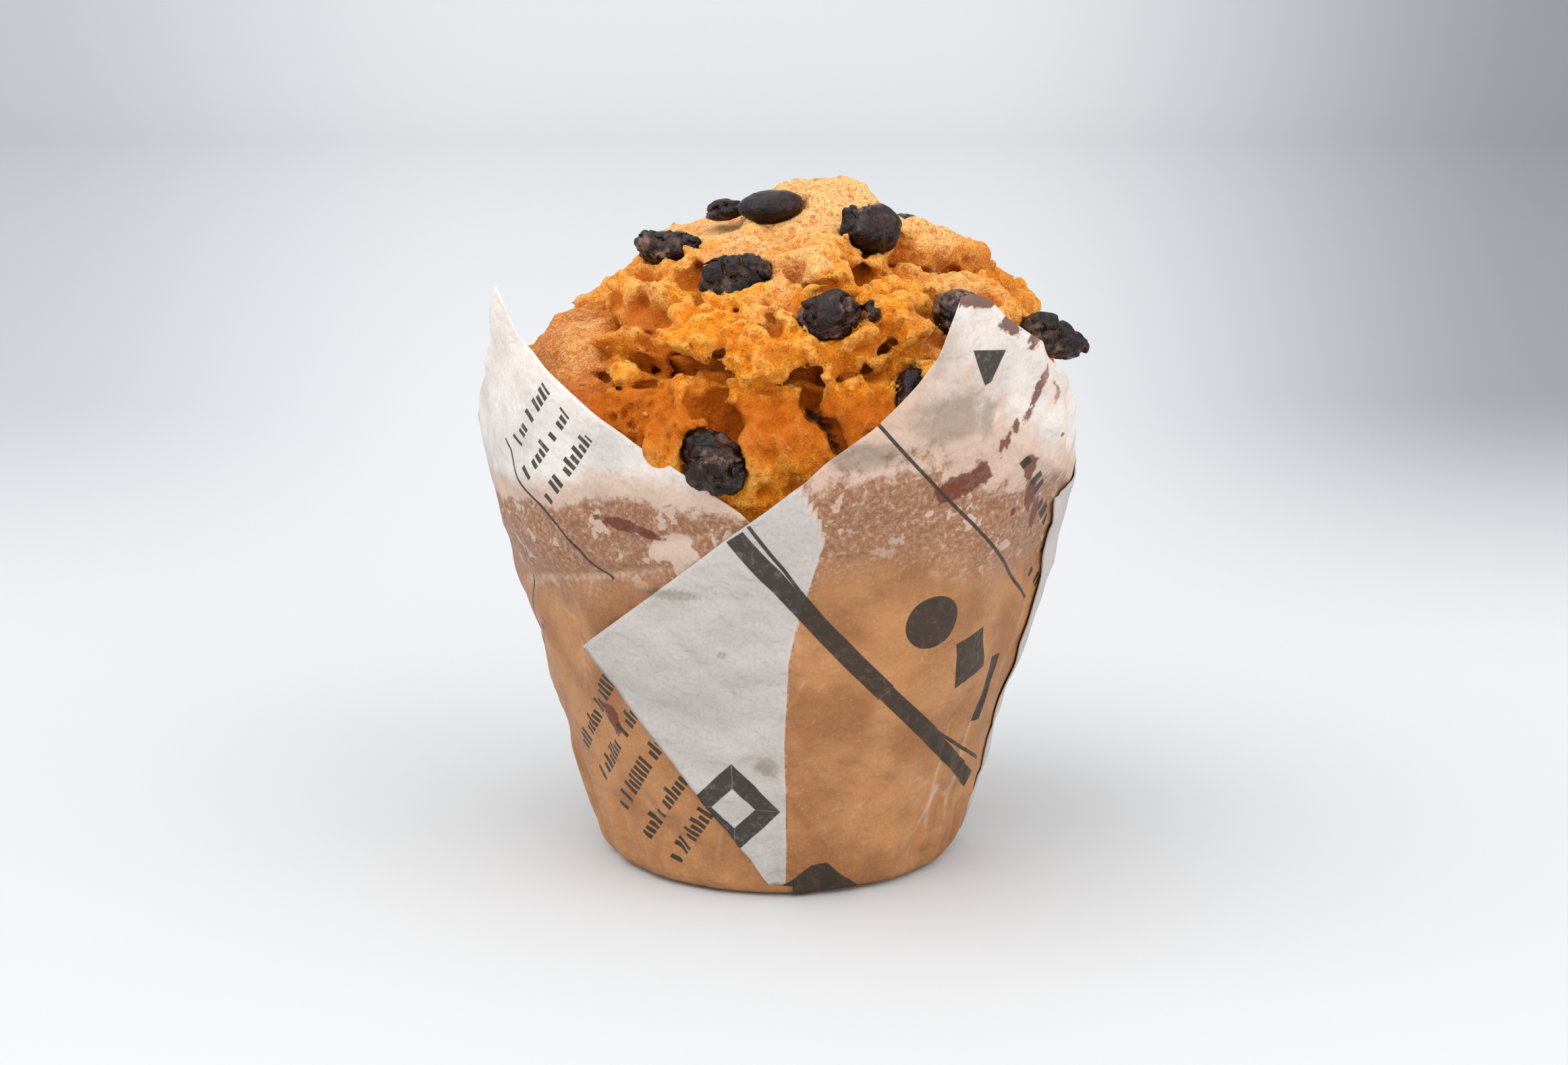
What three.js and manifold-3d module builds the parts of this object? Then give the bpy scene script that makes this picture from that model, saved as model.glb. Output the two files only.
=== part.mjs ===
// A chocolate chip muffin in its tulip paper: a square of baking paper pressed into a cup, with the
// muffin risen above it in a cracked dome. Millimetres, +Z up. The origin is the middle of the foot,
// and -Y is the front. An azimuth is counted in degrees from the front towards +X.
import * as THREE from "three";
import { mergeVertices } from "three/addons/utils/BufferGeometryUtils.js";
import Module from "manifold-3d";

// The paper: a 160 mm square, pressed over a 50 mm foot
const sheetSide = 160;
const footRadius = 25.3;
const wallSlope = 0.29;
const footFillet = 2.5;
const paperThickness = 0.35;
const clearance = 0.3;
const buckleDepth = 0.95;
const footInset = 0.4;

// The muffin
const shoulderHeight = 66;
const shoulderRadius = 42.4;
const domeRise = 29;
const domeLean = 5;
const crownHeight = 3.4;
const crownSpread = 9;
const crownPlace = new THREE.Vector3(4, -1, 95);
const heart = new THREE.Vector3(2, 0, 50);
const crumbFootHeight = paperThickness + clearance + 0.1;

// Fineness of the faceted solids
const crumbDetail = 15;
const chipDetail = 1;
const paperColumns = 80;
const paperRows = 8;
const flapColumns = 8;
const flapRows = 9;

const radians = THREE.MathUtils.degToRad;
const { clamp, lerp, smoothstep } = THREE.MathUtils;
const wallAngle = Math.atan(wallSlope);
const filletCentreRadius =
  footRadius + wallSlope * footFillet * (1 - Math.sin(wallAngle)) - footFillet * Math.cos(wallAngle);

const wasm = await Module();
wasm.setup();

// A point from its azimuth in degrees, its distance from the axis and its height.
function around(azimuth, radius, height) {
  const turn = radians(azimuth);
  return new THREE.Vector3(radius * Math.sin(turn), -radius * Math.cos(turn), height);
}

const wallRadius = (height) => footRadius + wallSlope * height;

function solidFrom(geometry) {
  const bare = new THREE.BufferGeometry();
  bare.setAttribute("position", geometry.getAttribute("position").clone());
  bare.setIndex(geometry.index);
  const merged = mergeVertices(bare, 1e-4);
  const vertProperties = new Float32Array(merged.attributes.position.array);
  const triVerts = new Uint32Array(merged.index.array);
  return new wasm.Manifold(new wasm.Mesh({ numProp: 3, vertProperties, triVerts }));
}

// The main body alone: scraps cut loose are dropped, and hollows sealed by a join are filled.
function mainBody(solid) {
  return solid.decompose().reduce((most, body) => (body.volume() > most.volume() ? body : most));
}

function geometryFrom(solid) {
  const mesh = solid.getMesh();
  const geometry = new THREE.BufferGeometry();
  geometry.setAttribute("position", new THREE.BufferAttribute(mesh.vertProperties, 3));
  geometry.setIndex(new THREE.BufferAttribute(mesh.triVerts, 1));
  geometry.computeVertexNormals();
  return geometry;
}

// A closed solid between two grids of points with the same rows and columns: outer, then inner.
function plateFrom(outer, inner) {
  const rows = outer.length;
  const columns = outer[0].length;
  const points = [...outer.flat(), ...inner.flat()];
  const index = [];
  const at = (layer, row, column) => (layer * rows + row) * columns + column;
  const quad = (a, b, c, d) => index.push(a, b, c, a, c, d);
  for (let row = 0; row + 1 < rows; row += 1) {
    for (let column = 0; column + 1 < columns; column += 1) {
      quad(at(0, row, column), at(0, row, column + 1), at(0, row + 1, column + 1), at(0, row + 1, column));
      quad(at(1, row, column), at(1, row + 1, column), at(1, row + 1, column + 1), at(1, row, column + 1));
    }
    const last = columns - 1;
    quad(at(0, row, last), at(1, row, last), at(1, row + 1, last), at(0, row + 1, last));
    quad(at(0, row, 0), at(0, row + 1, 0), at(1, row + 1, 0), at(1, row, 0));
  }
  for (let column = 0; column + 1 < columns; column += 1) {
    const last = rows - 1;
    quad(at(0, last, column), at(0, last, column + 1), at(1, last, column + 1), at(1, last, column));
    quad(at(0, 0, column), at(1, 0, column), at(1, 0, column + 1), at(0, 0, column + 1));
  }
  const geometry = new THREE.BufferGeometry().setFromPoints(points);
  geometry.setIndex(index);
  return solidFrom(geometry);
}

// The four corners of the square stand up as petals, each between two notches a quarter turn apart. A
// petal has the azimuth of its corner, how far that reaches beyond or short of the true square, the
// height where a bent tip ends, and how far the tip leans in.
const firstNotch = -9;
const petals = [
  { corner: 31.5, reach: 3, tip: 85.5, leanIn: 1.5 },
  { corner: 126, reach: -5, tip: 200, leanIn: 3 },
  { corner: 216, reach: -6, tip: 200, leanIn: 3 },
  { corner: 306, reach: 2, tip: 200, leanIn: 3.4 },
];

// The petal at an azimuth, with how far round it that lies, from 0 to 90 degrees.
function petalAt(azimuth) {
  const along = THREE.MathUtils.euclideanModulo(azimuth - firstNotch, 360);
  const number = Math.min(3, Math.floor(along / 90));
  return { petal: petals[number], number, along: along - 90 * number };
}

// Height of the cut edge. Unrolled, the wall is a flat fan, and the sheet's edges leave a corner there
// as straight lines at 45 degrees.
function rimHeight(azimuth) {
  const { petal, number, along } = petalAt(azimuth);
  const cornerAlong = petal.corner - firstNotch - 90 * number;
  const offset = along - cornerAlong;
  const turn = 45 * (offset < 0 ? -offset / cornerAlong : offset / (90 - cornerAlong));
  const fanCorner = footRadius / Math.sin(wallAngle) + sheetSide * Math.SQRT1_2 - footRadius + petal.reach;
  const fanTurn = radians(turn) * Math.sin(wallAngle);
  const fanEdge = fanCorner / (Math.cos(fanTurn) + Math.sin(fanTurn));
  const slant = fanEdge - footRadius / Math.sin(wallAngle);
  const wave = 0.5 * Math.sin(0.21 * along + petal.corner);
  return Math.min(slant * Math.cos(wallAngle), petal.tip) + wave;
}

// How far the paper stands out from the plain wall: shallow buckles, and tips that lean in.
function paperWave(azimuth, height) {
  const turn = radians(azimuth);
  const buckle = 0.4 * Math.sin(3 * turn + 0.05 * height + 2) + 0.3 * Math.sin(7 * turn - 0.09 * height + 1);
  const { leanIn } = petalAt(azimuth).petal;
  return buckle * smoothstep(height, 6, 50) - leanIn * smoothstep(height, 60, 86);
}

// A point of the paper at a share of the way from the foot's middle to a height, pushed outwards.
function paperPoint(azimuth, height, outwards) {
  const filletTop = footFillet * (1 - Math.sin(wallAngle));
  if (height < filletTop) {
    const angle = Math.acos(clamp(1 - height / footFillet, -1, 1));
    const radius = filletCentreRadius + (footFillet + outwards) * Math.sin(angle);
    return around(azimuth, radius, footFillet - (footFillet + outwards) * Math.cos(angle));
  }
  const radius = wallRadius(height) + paperWave(azimuth, height) + outwards * Math.cos(wallAngle);
  return around(azimuth, radius, height - outwards * Math.sin(wallAngle));
}

// The cup: both faces of the paper, from the middle of the foot up to the cut edge.
function cupSolid() {
  const filletTop = footFillet * (1 - Math.sin(wallAngle));
  const flatRadii = [8, filletCentreRadius];
  const lowHeights = [0.25 * filletTop, filletTop];
  const points = [];
  const rings = [];
  const addRing = (pointAt) => {
    const ring = [];
    for (let column = 0; column < paperColumns; column += 1) {
      ring.push(points.length);
      points.push(pointAt((360 * column) / paperColumns));
    }
    rings.push(ring);
  };
  const addFace = (inwards) => {
    flatRadii.forEach((radius) => addRing((azimuth) => around(azimuth, radius, inwards)));
    lowHeights.forEach((height) => addRing((azimuth) => paperPoint(azimuth, height, -inwards)));
    for (let row = 1; row <= paperRows; row += 1) {
      const share = row / paperRows;
      addRing((azimuth) => paperPoint(azimuth, lerp(filletTop, rimHeight(azimuth), share), -inwards));
    }
  };
  addFace(0);
  const outerRings = rings.length;
  addFace(paperThickness);
  const innerRings = rings.splice(outerRings).reverse();
  rings.push(...innerRings);
  const index = [];
  const outerMiddle = points.push(new THREE.Vector3(0, 0, 0)) - 1;
  const innerMiddle = points.push(new THREE.Vector3(0, 0, paperThickness)) - 1;
  for (let column = 0; column < paperColumns; column += 1) {
    const next = (column + 1) % paperColumns;
    index.push(outerMiddle, rings[0][next], rings[0][column]);
    for (let row = 0; row + 1 < rings.length; row += 1) {
      const [a, b] = [rings[row][column], rings[row][next]];
      const [c, d] = [rings[row + 1][next], rings[row + 1][column]];
      index.push(a, b, c, a, c, d);
    }
    const top = rings[rings.length - 1];
    index.push(innerMiddle, top[column], top[next]);
  }
  const geometry = new THREE.BufferGeometry().setFromPoints(points);
  geometry.setIndex(index);
  return solidFrom(geometry);
}

// Between two petals the spare paper is folded flat against the wall. Each flap has the azimuth where
// its fold leaves the foot, the azimuth and height of its free corner, the azimuth where it joins the
// petal, and how far the corner stands off.
const flaps = [
  { foot: 0, corner: -45, cornerHeight: 37, root: 4, lift: 1.6 },
  { foot: 92, corner: 76, cornerHeight: 50, root: 100, lift: 0.8 },
  { foot: 181, corner: 150, cornerHeight: 44, root: 186, lift: 1.4 },
  { foot: 271, corner: 240, cornerHeight: 42, root: 276, lift: 1.2 },
];

function flapSolid(flap) {
  const rootTop = rimHeight(flap.root);
  const layer = (depth) => {
    const grid = [];
    for (let row = 0; row <= flapRows; row += 1) {
      const up = row / flapRows;
      const line = [];
      for (let column = 0; column <= flapColumns; column += 1) {
        const across = column / flapColumns;
        const azimuth = lerp(lerp(flap.foot, flap.corner, up), flap.root, across);
        const height = lerp(2.2, lerp(flap.cornerHeight, rootTop - 0.6, across), up);
        const lift = flap.lift * up * up * (1 - across) ** 2;
        line.push(paperPoint(azimuth, height, lift + depth));
      }
      grid.push(line);
    }
    return grid;
  };
  const outwards = paperThickness * 1.1;
  return plateFrom(layer(outwards), layer(-0.8 * paperThickness));
}

function paperSolid() {
  return mainBody(flaps.map(flapSolid).reduce((whole, flap) => whole.add(flap), cupSolid()));
}

// Distance from the dome's leaning axis at an azimuth and a height.
function domeRadius(height) {
  const share = clamp((height - shoulderHeight) / domeRise, 0, 1);
  return shoulderRadius * (1 - share ** (1 / 0.65)) ** (1 / 2.2);
}

function domePoint(azimuth, height) {
  const lean = (domeLean * Math.max(0, height - shoulderHeight)) / domeRise;
  return around(azimuth, domeRadius(height), height).add(new THREE.Vector3(lean, 0, 0));
}

// Tears in the crust, each a path of azimuths and heights on the dome, with its half width, its depth
// and how far the crumb above it swells out over it.
const tears = [
  { path: [[-72, 84], [-98, 84]], width: 9, depth: 4.6, lip: 0 },
  { path: [[-38, 79], [-28, 78.4], [-17, 78], [-9, 76.6], [5, 76.4], [15, 78.3]], width: 2.1, depth: 4.2, lip: 2 },
  { path: [[-58, 84], [-46, 83.5], [-38, 81.5], [-31, 79]], width: 3.2, depth: 6, lip: 1.4 },
  { path: [[-17, 72.5], [-12, 70.5]], width: 4.2, depth: 5.2, lip: 1 },
  { path: [[4, 76], [5, 73], [9, 70], [11, 67], [14, 64]], width: 1.6, depth: 2.6, lip: 0.4 },
  { path: [[24, 91], [17, 88.5], [13, 86], [12, 83]], width: 1.8, depth: 2.6, lip: 0.9 },
  { path: [[-2, 87.5], [4, 85.5]], width: 1.6, depth: 2.2, lip: 0.8 },
  { path: [[15, 78.5], [27, 81], [40, 78], [52, 81]], width: 2, depth: 2.4, lip: 1 },
  { path: [[40, 91], [62, 89], [84, 86.5], [104, 87]], width: 2.4, depth: 3, lip: 1.2 },
  { path: [[78, 79], [96, 76], [118, 78], [132, 75]], width: 2.6, depth: 4, lip: 2 },
  { path: [[128, 85], [150, 82], [172, 84], [190, 81]], width: 2.6, depth: 4.6, lip: 2.2 },
  { path: [[196, 89], [218, 86], [236, 88]], width: 2.2, depth: 3.4, lip: 1.4 },
  { path: [[204, 78], [226, 75], [248, 78], [268, 76]], width: 2.6, depth: 4.4, lip: 1.8 },
  { path: [[270, 88], [284, 85], [300, 86]], width: 2.2, depth: 3.2, lip: 1.2 },
];
for (const tear of tears) {
  tear.points = tear.path.map(([azimuth, height]) => domePoint(azimuth, height));
}

// The nearest point on a tear's path, with how far above the path the asked point lies.
function nearestOn(points, asked) {
  let best = { distance: Infinity, above: 0 };
  for (let i = 0; i + 1 < points.length; i += 1) {
    const nearest = new THREE.Line3(points[i], points[i + 1]).closestPointToPoint(
      asked,
      true,
      new THREE.Vector3(),
    );
    const distance = nearest.distanceTo(asked);
    if (distance < best.distance) {
      const inwards = Math.hypot(nearest.x, nearest.y) - Math.hypot(asked.x, asked.y);
      best = { distance, above: asked.z - nearest.z + 0.6 * inwards };
    }
  }
  return best;
}

function tearRelief(point) {
  let relief = 0;
  for (const tear of tears) {
    const { distance, above } = nearestOn(tear.points, point);
    relief -= tear.depth * Math.exp(-((distance / tear.width) ** 2));
    if (above > 0) {
      relief += tear.lip * Math.exp(-(((distance - 2 * tear.width) / (1.2 * tear.width)) ** 2));
    }
  }
  return relief;
}

// Broad unevenness of the dome, without any random draw.
function lumps({ x, y, z }) {
  const coarse = Math.sin(0.17 * x + 0.9) * Math.sin(0.15 * y - 0.4) + Math.sin(0.21 * z + 0.11 * x);
  const middle = Math.sin(0.43 * x - 0.31 * y + 0.7) * Math.sin(0.39 * z + 0.27 * y);
  const fine = Math.sin(0.83 * x + 0.6 * z) * Math.sin(0.77 * y - 0.5 * z + 1.3);
  return 0.6 * coarse + 0.7 * middle + 0.45 * fine - 0.9;
}

// A point of the muffin's skin in a direction: the dome above, then the wall, then the foot.
function crumbPoint(direction) {
  const azimuth = THREE.MathUtils.radToDeg(Math.atan2(direction.x, -direction.y));
  const fall = Math.acos(clamp(direction.z, -1, 1)) / Math.PI;
  const [domeShare, wallShare] = [0.68, 0.9];
  if (fall < domeShare) {
    const bend = (fall / domeShare) * (Math.PI / 2);
    const height = shoulderHeight + domeRise * Math.cos(bend) ** 1.3;
    const lean = (domeLean * (height - shoulderHeight)) / domeRise;
    const radius = shoulderRadius * Math.sin(bend) ** (1 / 1.1);
    const point = around(azimuth, radius, height).add(new THREE.Vector3(lean, 0, 0));
    const crown = crownHeight * Math.exp(-((point.distanceTo(crownPlace) / crownSpread) ** 2));
    const fade = smoothstep(bend, 0, 0.25) * smoothstep(Math.PI / 2 - bend, 0, 0.3);
    const outwards = point.clone().sub(heart).normalize();
    const relief = tearRelief(point) * smoothstep(Math.PI / 2 - bend, 0, 0.12) + lumps(point) * fade;
    point.addScaledVector(outwards, relief).add(new THREE.Vector3(0, 0, crown));
    const limit = wallRadius(point.z) - paperThickness - clearance - buckleDepth;
    const reach = Math.hypot(point.x, point.y);
    return reach > limit && point.z < 90 ? around(azimuth, limit, point.z) : point;
  }
  if (fall < wallShare) {
    const down = (fall - domeShare) / (wallShare - domeShare);
    const height = lerp(shoulderHeight, footFillet + 1.5, down);
    const most = wallRadius(height) - paperThickness - clearance - buckleDepth * smoothstep(height, 6, 50);
    const wall = around(azimuth, Math.min(most, shoulderRadius), height);
    const dent = Math.max(0, 0.4 - lumps(wall)) * smoothstep(height, 50, 62);
    return around(azimuth, Math.min(most, shoulderRadius) - dent, height);
  }
  const under = (fall - wallShare) / (1 - wallShare);
  const radius = (filletCentreRadius + footInset) * (1 - under);
  return around(azimuth, radius, crumbFootHeight);
}

function crumbSolid() {
  const ball = new THREE.IcosahedronGeometry(1, crumbDetail);
  ball.deleteAttribute("normal");
  ball.deleteAttribute("uv");
  const merged = mergeVertices(ball, 1e-5);
  const position = merged.getAttribute("position");
  const direction = new THREE.Vector3();
  for (let i = 0; i < position.count; i += 1) {
    direction.fromBufferAttribute(position, i).normalize();
    position.setXYZ(i, ...crumbPoint(direction));
  }
  return solidFrom(merged);
}

// The chips, softened in the oven: azimuth and height on the dome, three diameters (along the dome,
// up it, and out of it), a spin about the way out, and how far the middle stands out of the crust.
const chips = [
  { at: [-88, 93.4], size: [7.4, 6, 4.4], spin: 20, out: 0.4 },
  { at: [-34, 94], size: [9.4, 7.6, 4.2], spin: -10, out: 0.8 },
  { at: [-67, 90.4], size: [9.4, 7, 5.4], spin: -25, out: 0.8 },
  { at: [23, 91.7], size: [8.8, 8, 7], spin: 10, out: 1.2 },
  { at: [-23, 88.2], size: [10.6, 7.4, 5.4], spin: -12, out: 0.8 },
  { at: [8, 82.4], size: [10.2, 8.8, 6.6], spin: 35, out: 1.2 },
  { at: [40, 83.5], size: [8.6, 8, 6], spin: 0, out: 0.6 },
  { at: [66, 77.2], size: [11, 8, 6.4], spin: 30, out: 1 },
  { at: [-14, 67], size: [8.6, 8.4, 6.2], spin: 5, out: -0.8 },
  { at: [25, 76], size: [5.4, 6.8, 4], spin: -30, out: -0.2 },
  { at: [112, 75.5], size: [9, 8, 5.8], spin: -35, out: 0.4 },
  { at: [150, 86], size: [9.6, 8, 6], spin: 15, out: 0.6 },
  { at: [141, 75], size: [10, 8.4, 6], spin: 20, out: 0.4 },
  { at: [166, 80], size: [9.8, 7.6, 5.6], spin: 50, out: 0.8 },
  { at: [180, 74], size: [8.6, 8, 5.4], spin: -10, out: 0.4 },
  { at: [205, 82], size: [10, 8.6, 6.4], spin: 40, out: 1 },
  { at: [214, 88], size: [9, 7.6, 5.4], spin: -20, out: 0.4 },
  { at: [236, 76], size: [9.6, 8.2, 6], spin: 5, out: 0.6 },
  { at: [258, 70], size: [9.2, 7.8, 5.6], spin: -30, out: 0.4 },
];

// The dome's skin where a chip sits, found along the line from the muffin's heart.
function seatOf(crumb, azimuth, height) {
  const aim = domePoint(azimuth, height);
  const outwards = aim.clone().sub(heart).normalize();
  const mesh = new THREE.Mesh(crumb, new THREE.MeshBasicMaterial({ side: THREE.DoubleSide }));
  mesh.updateMatrixWorld(true);
  const [hit] = new THREE.Raycaster(heart, outwards, 10, 90).intersectObject(mesh);
  return { place: hit.point, outwards };
}

// One chip about its own middle: a rounded drop that has sagged, with folds across its top.
function chipGeometry({ size, spin }, number) {
  const ball = new THREE.IcosahedronGeometry(0.5, chipDetail);
  ball.deleteAttribute("normal");
  ball.deleteAttribute("uv");
  const chip = mergeVertices(ball, 1e-5);
  const position = chip.getAttribute("position");
  const point = new THREE.Vector3();
  for (let i = 0; i < position.count; i += 1) {
    point.fromBufferAttribute(position, i);
    const fold = Math.sin(9 * point.x + 1.7 * number) * Math.cos(7 * point.y - 2.3 * number);
    point.multiplyScalar(1 + 0.09 * fold + 0.06 * Math.sin(13 * point.z + number));
    position.setXYZ(i, point.x * size[0], point.y * size[1], point.z * size[2]);
  }
  chip.rotateZ(radians(spin));
  return chip;
}

const crumbGeometry = geometryFrom(crumbSolid());
let crumb = solidFrom(crumbGeometry);
const chipMeshes = [];
const chocolate = new THREE.MeshStandardMaterial({ color: 0x35211f, roughness: 0.45, metalness: 0 });
chips.forEach((chip, number) => {
  const { place, outwards } = seatOf(crumbGeometry, ...chip.at);
  const mesh = new THREE.Mesh(chipGeometry(chip, number), chocolate);
  mesh.name = `chip_${String(number + 1).padStart(2, "0")}`;
  const across = new THREE.Vector3(0, 0, 1).cross(outwards).normalize();
  const upwards = outwards.clone().cross(across);
  mesh.quaternion.setFromRotationMatrix(new THREE.Matrix4().makeBasis(across, upwards, outwards));
  mesh.position.copy(place).addScaledVector(outwards, chip.out);
  mesh.updateMatrix();
  chipMeshes.push(mesh);
  const socket = mesh.geometry.clone();
  const grow = chip.size.map((diameter) => 1 + (2 * clearance) / diameter);
  socket.rotateZ(radians(-chip.spin)).scale(...grow).rotateZ(radians(chip.spin));
  crumb = crumb.subtract(solidFrom(socket.applyMatrix4(mesh.matrix)));
});

const crumbMaterial = new THREE.MeshStandardMaterial({ color: 0xeaa05a, roughness: 0.9, metalness: 0 });
const crumbMesh = new THREE.Mesh(geometryFrom(mainBody(crumb)), crumbMaterial);
crumbMesh.name = "crumb";

const paperMaterial = new THREE.MeshStandardMaterial({ color: 0xc09a78, roughness: 0.7, metalness: 0 });
const paperMesh = new THREE.Mesh(geometryFrom(paperSolid()), paperMaterial);
paperMesh.name = "paper_case";

const muffin = new THREE.Group();
muffin.add(crumbMesh, paperMesh, ...chipMeshes);
export default muffin;
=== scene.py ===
# %% [markdown]
# # A chocolate chip muffin in a tulip paper
#
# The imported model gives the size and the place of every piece. This lesson dresses it: the crumb is
# torn open where it rose, the chips are wrinkled and dusty, and the paper is a folded square with
# creases, grease and print. Shapes are worked out in millimetres and become metres at the very end.

import math
from concurrent.futures import ThreadPoolExecutor

import bpy
import numpy as np
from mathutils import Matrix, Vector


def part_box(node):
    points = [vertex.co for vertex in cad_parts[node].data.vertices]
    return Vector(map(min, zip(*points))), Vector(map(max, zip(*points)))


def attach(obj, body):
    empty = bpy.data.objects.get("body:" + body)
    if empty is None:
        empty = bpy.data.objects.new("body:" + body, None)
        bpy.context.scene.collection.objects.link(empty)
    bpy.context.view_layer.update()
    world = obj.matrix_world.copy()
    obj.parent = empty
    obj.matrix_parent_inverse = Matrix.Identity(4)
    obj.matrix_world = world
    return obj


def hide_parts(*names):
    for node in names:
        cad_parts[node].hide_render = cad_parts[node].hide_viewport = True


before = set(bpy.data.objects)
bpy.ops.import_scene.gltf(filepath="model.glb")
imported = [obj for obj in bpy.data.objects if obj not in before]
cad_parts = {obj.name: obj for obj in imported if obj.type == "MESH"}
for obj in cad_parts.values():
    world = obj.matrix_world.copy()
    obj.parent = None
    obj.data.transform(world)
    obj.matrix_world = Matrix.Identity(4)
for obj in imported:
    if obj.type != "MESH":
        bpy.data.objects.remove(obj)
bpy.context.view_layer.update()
MILLIMETRE = 0.001
print("nodes in the frame:", len(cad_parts))

# %% [markdown]
# The driving sizes are those of the solid model: a square sheet pressed over a round foot, and a dome
# that rises out of it. An azimuth is counted in degrees from the front (-Y) towards +X.

# %% Driving sizes, in millimetres and degrees
SHEET_SIDE = 160.0
FOOT_RADIUS = 25.3
WALL_SLOPE = 0.29
FOOT_FILLET = 2.5
PAPER_THICKNESS = 0.12
SHOULDER_HEIGHT = 66.0
SHOULDER_RADIUS = 42.4
DOME_RISE = 29.0
DOME_LEAN = 5.0
DOME_SIDE_POWER = 2.2
DOME_TOP_POWER = 0.65
HEART = np.array([2.0, 0.0, 50.0])

WALL_ANGLE = math.atan(WALL_SLOPE)
CONE_TOP = FOOT_RADIUS / math.sin(WALL_ANGLE)
FILLET_TOP = FOOT_FILLET * (1 - math.sin(WALL_ANGLE))
FILLET_RADIUS = FOOT_RADIUS + WALL_SLOPE * FILLET_TOP - FOOT_FILLET * math.cos(WALL_ANGLE)

# %% [markdown]
# A few small functions are used all the way through: a point from its azimuth, a soft step between two
# values, and the plain dome and wall that everything is measured from.

# %% Points and soft steps


def around(azimuth, radius, height):
    """Points from azimuth, distance from the axis and height."""
    turn = np.radians(azimuth)
    parts = np.broadcast_arrays(radius * np.sin(turn), -radius * np.cos(turn), height)
    return np.stack(parts, axis=-1).astype(float)


def smoothstep(value, low, high):
    """0 below low, 1 above high, and a soft slope between them."""
    share = np.clip((value - low) / (high - low), 0, 1)
    return share * share * (3 - 2 * share)


def gap_to(points, place):
    """The distance of each point from one place."""
    return np.linalg.norm(points - place, axis=-1)


def within(distance, radius, core):
    """1 up to `core` times the radius, then falling softly to 0 at the radius."""
    return smoothstep(-distance, -radius, -core * radius)


def wall_radius(height):
    """The paper cone's radius at a height."""
    return FOOT_RADIUS + WALL_SLOPE * height


def dome_point(azimuth, height):
    """The plain dome without cracks, as a place to aim at."""
    share = np.clip((height - SHOULDER_HEIGHT) / DOME_RISE, 0, 1)
    radius = SHOULDER_RADIUS * (1 - share ** (1 / DOME_TOP_POWER)) ** (1 / DOME_SIDE_POWER)
    return around(azimuth, radius, height) + np.stack([DOME_LEAN * share, 0 * share, 0 * share], -1)


# %% [markdown]
# Baked crumb is rough at every size, from lumps as big as a cherry to grains of half a millimetre.
# All of it comes from one noise, used at several sizes: `cloud` blends random numbers on a lattice
# into soft blobs. As it is, it gives lumps, and its absolute value gives furrows with sharp floors.

# %% Soft noise, worked out in slices
LATTICE = 32
SLICES = 16


def cloud(points, size, seed):
    """Smooth noise of about -1 to 1, in blobs `size` millimetres across."""
    table = np.random.default_rng(seed).uniform(-1.6, 1.6, LATTICE**3).astype(np.float32)
    place = (points / size).astype(np.float32)
    cell = np.floor(place)
    part = place - cell
    part = part * part * (3 - 2 * part)
    index = cell.astype(np.int32)
    first, second = index & (LATTICE - 1), (index + 1) & (LATTICE - 1)
    x = (first[:, 0] * LATTICE**2, second[:, 0] * LATTICE**2)
    y = (first[:, 1] * LATTICE, second[:, 1] * LATTICE)
    z = (first[:, 2], second[:, 2])

    def along_z(i, j):
        start = x[i] + y[j]
        low, high = table[start + z[0]], table[start + z[1]]
        return low + (high - low) * part[:, 2]

    near, far = [along_z(i, 0) + (along_z(i, 1) - along_z(i, 0)) * part[:, 1] for i in (0, 1)]
    return near + (far - near) * part[:, 0]


def in_slices(work, *columns):
    """Runs a function over slices of long arrays, several at a time, and joins the answers."""
    slices = zip(*[np.array_split(column, SLICES) for column in columns])
    with ThreadPoolExecutor() as pool:
        return np.concatenate(list(pool.map(lambda part: work(*part), slices)))


# %% [markdown]
# Torn crumb has overhangs and holes that a displaced sphere can't hold. So the crumb and the chips
# are first a field: a number for every point of a grid, negative inside. `skin` then lays a mesh
# through the places where the field changes sign, one vertex for each cell that it crosses.

# %% From a field to a mesh


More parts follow.
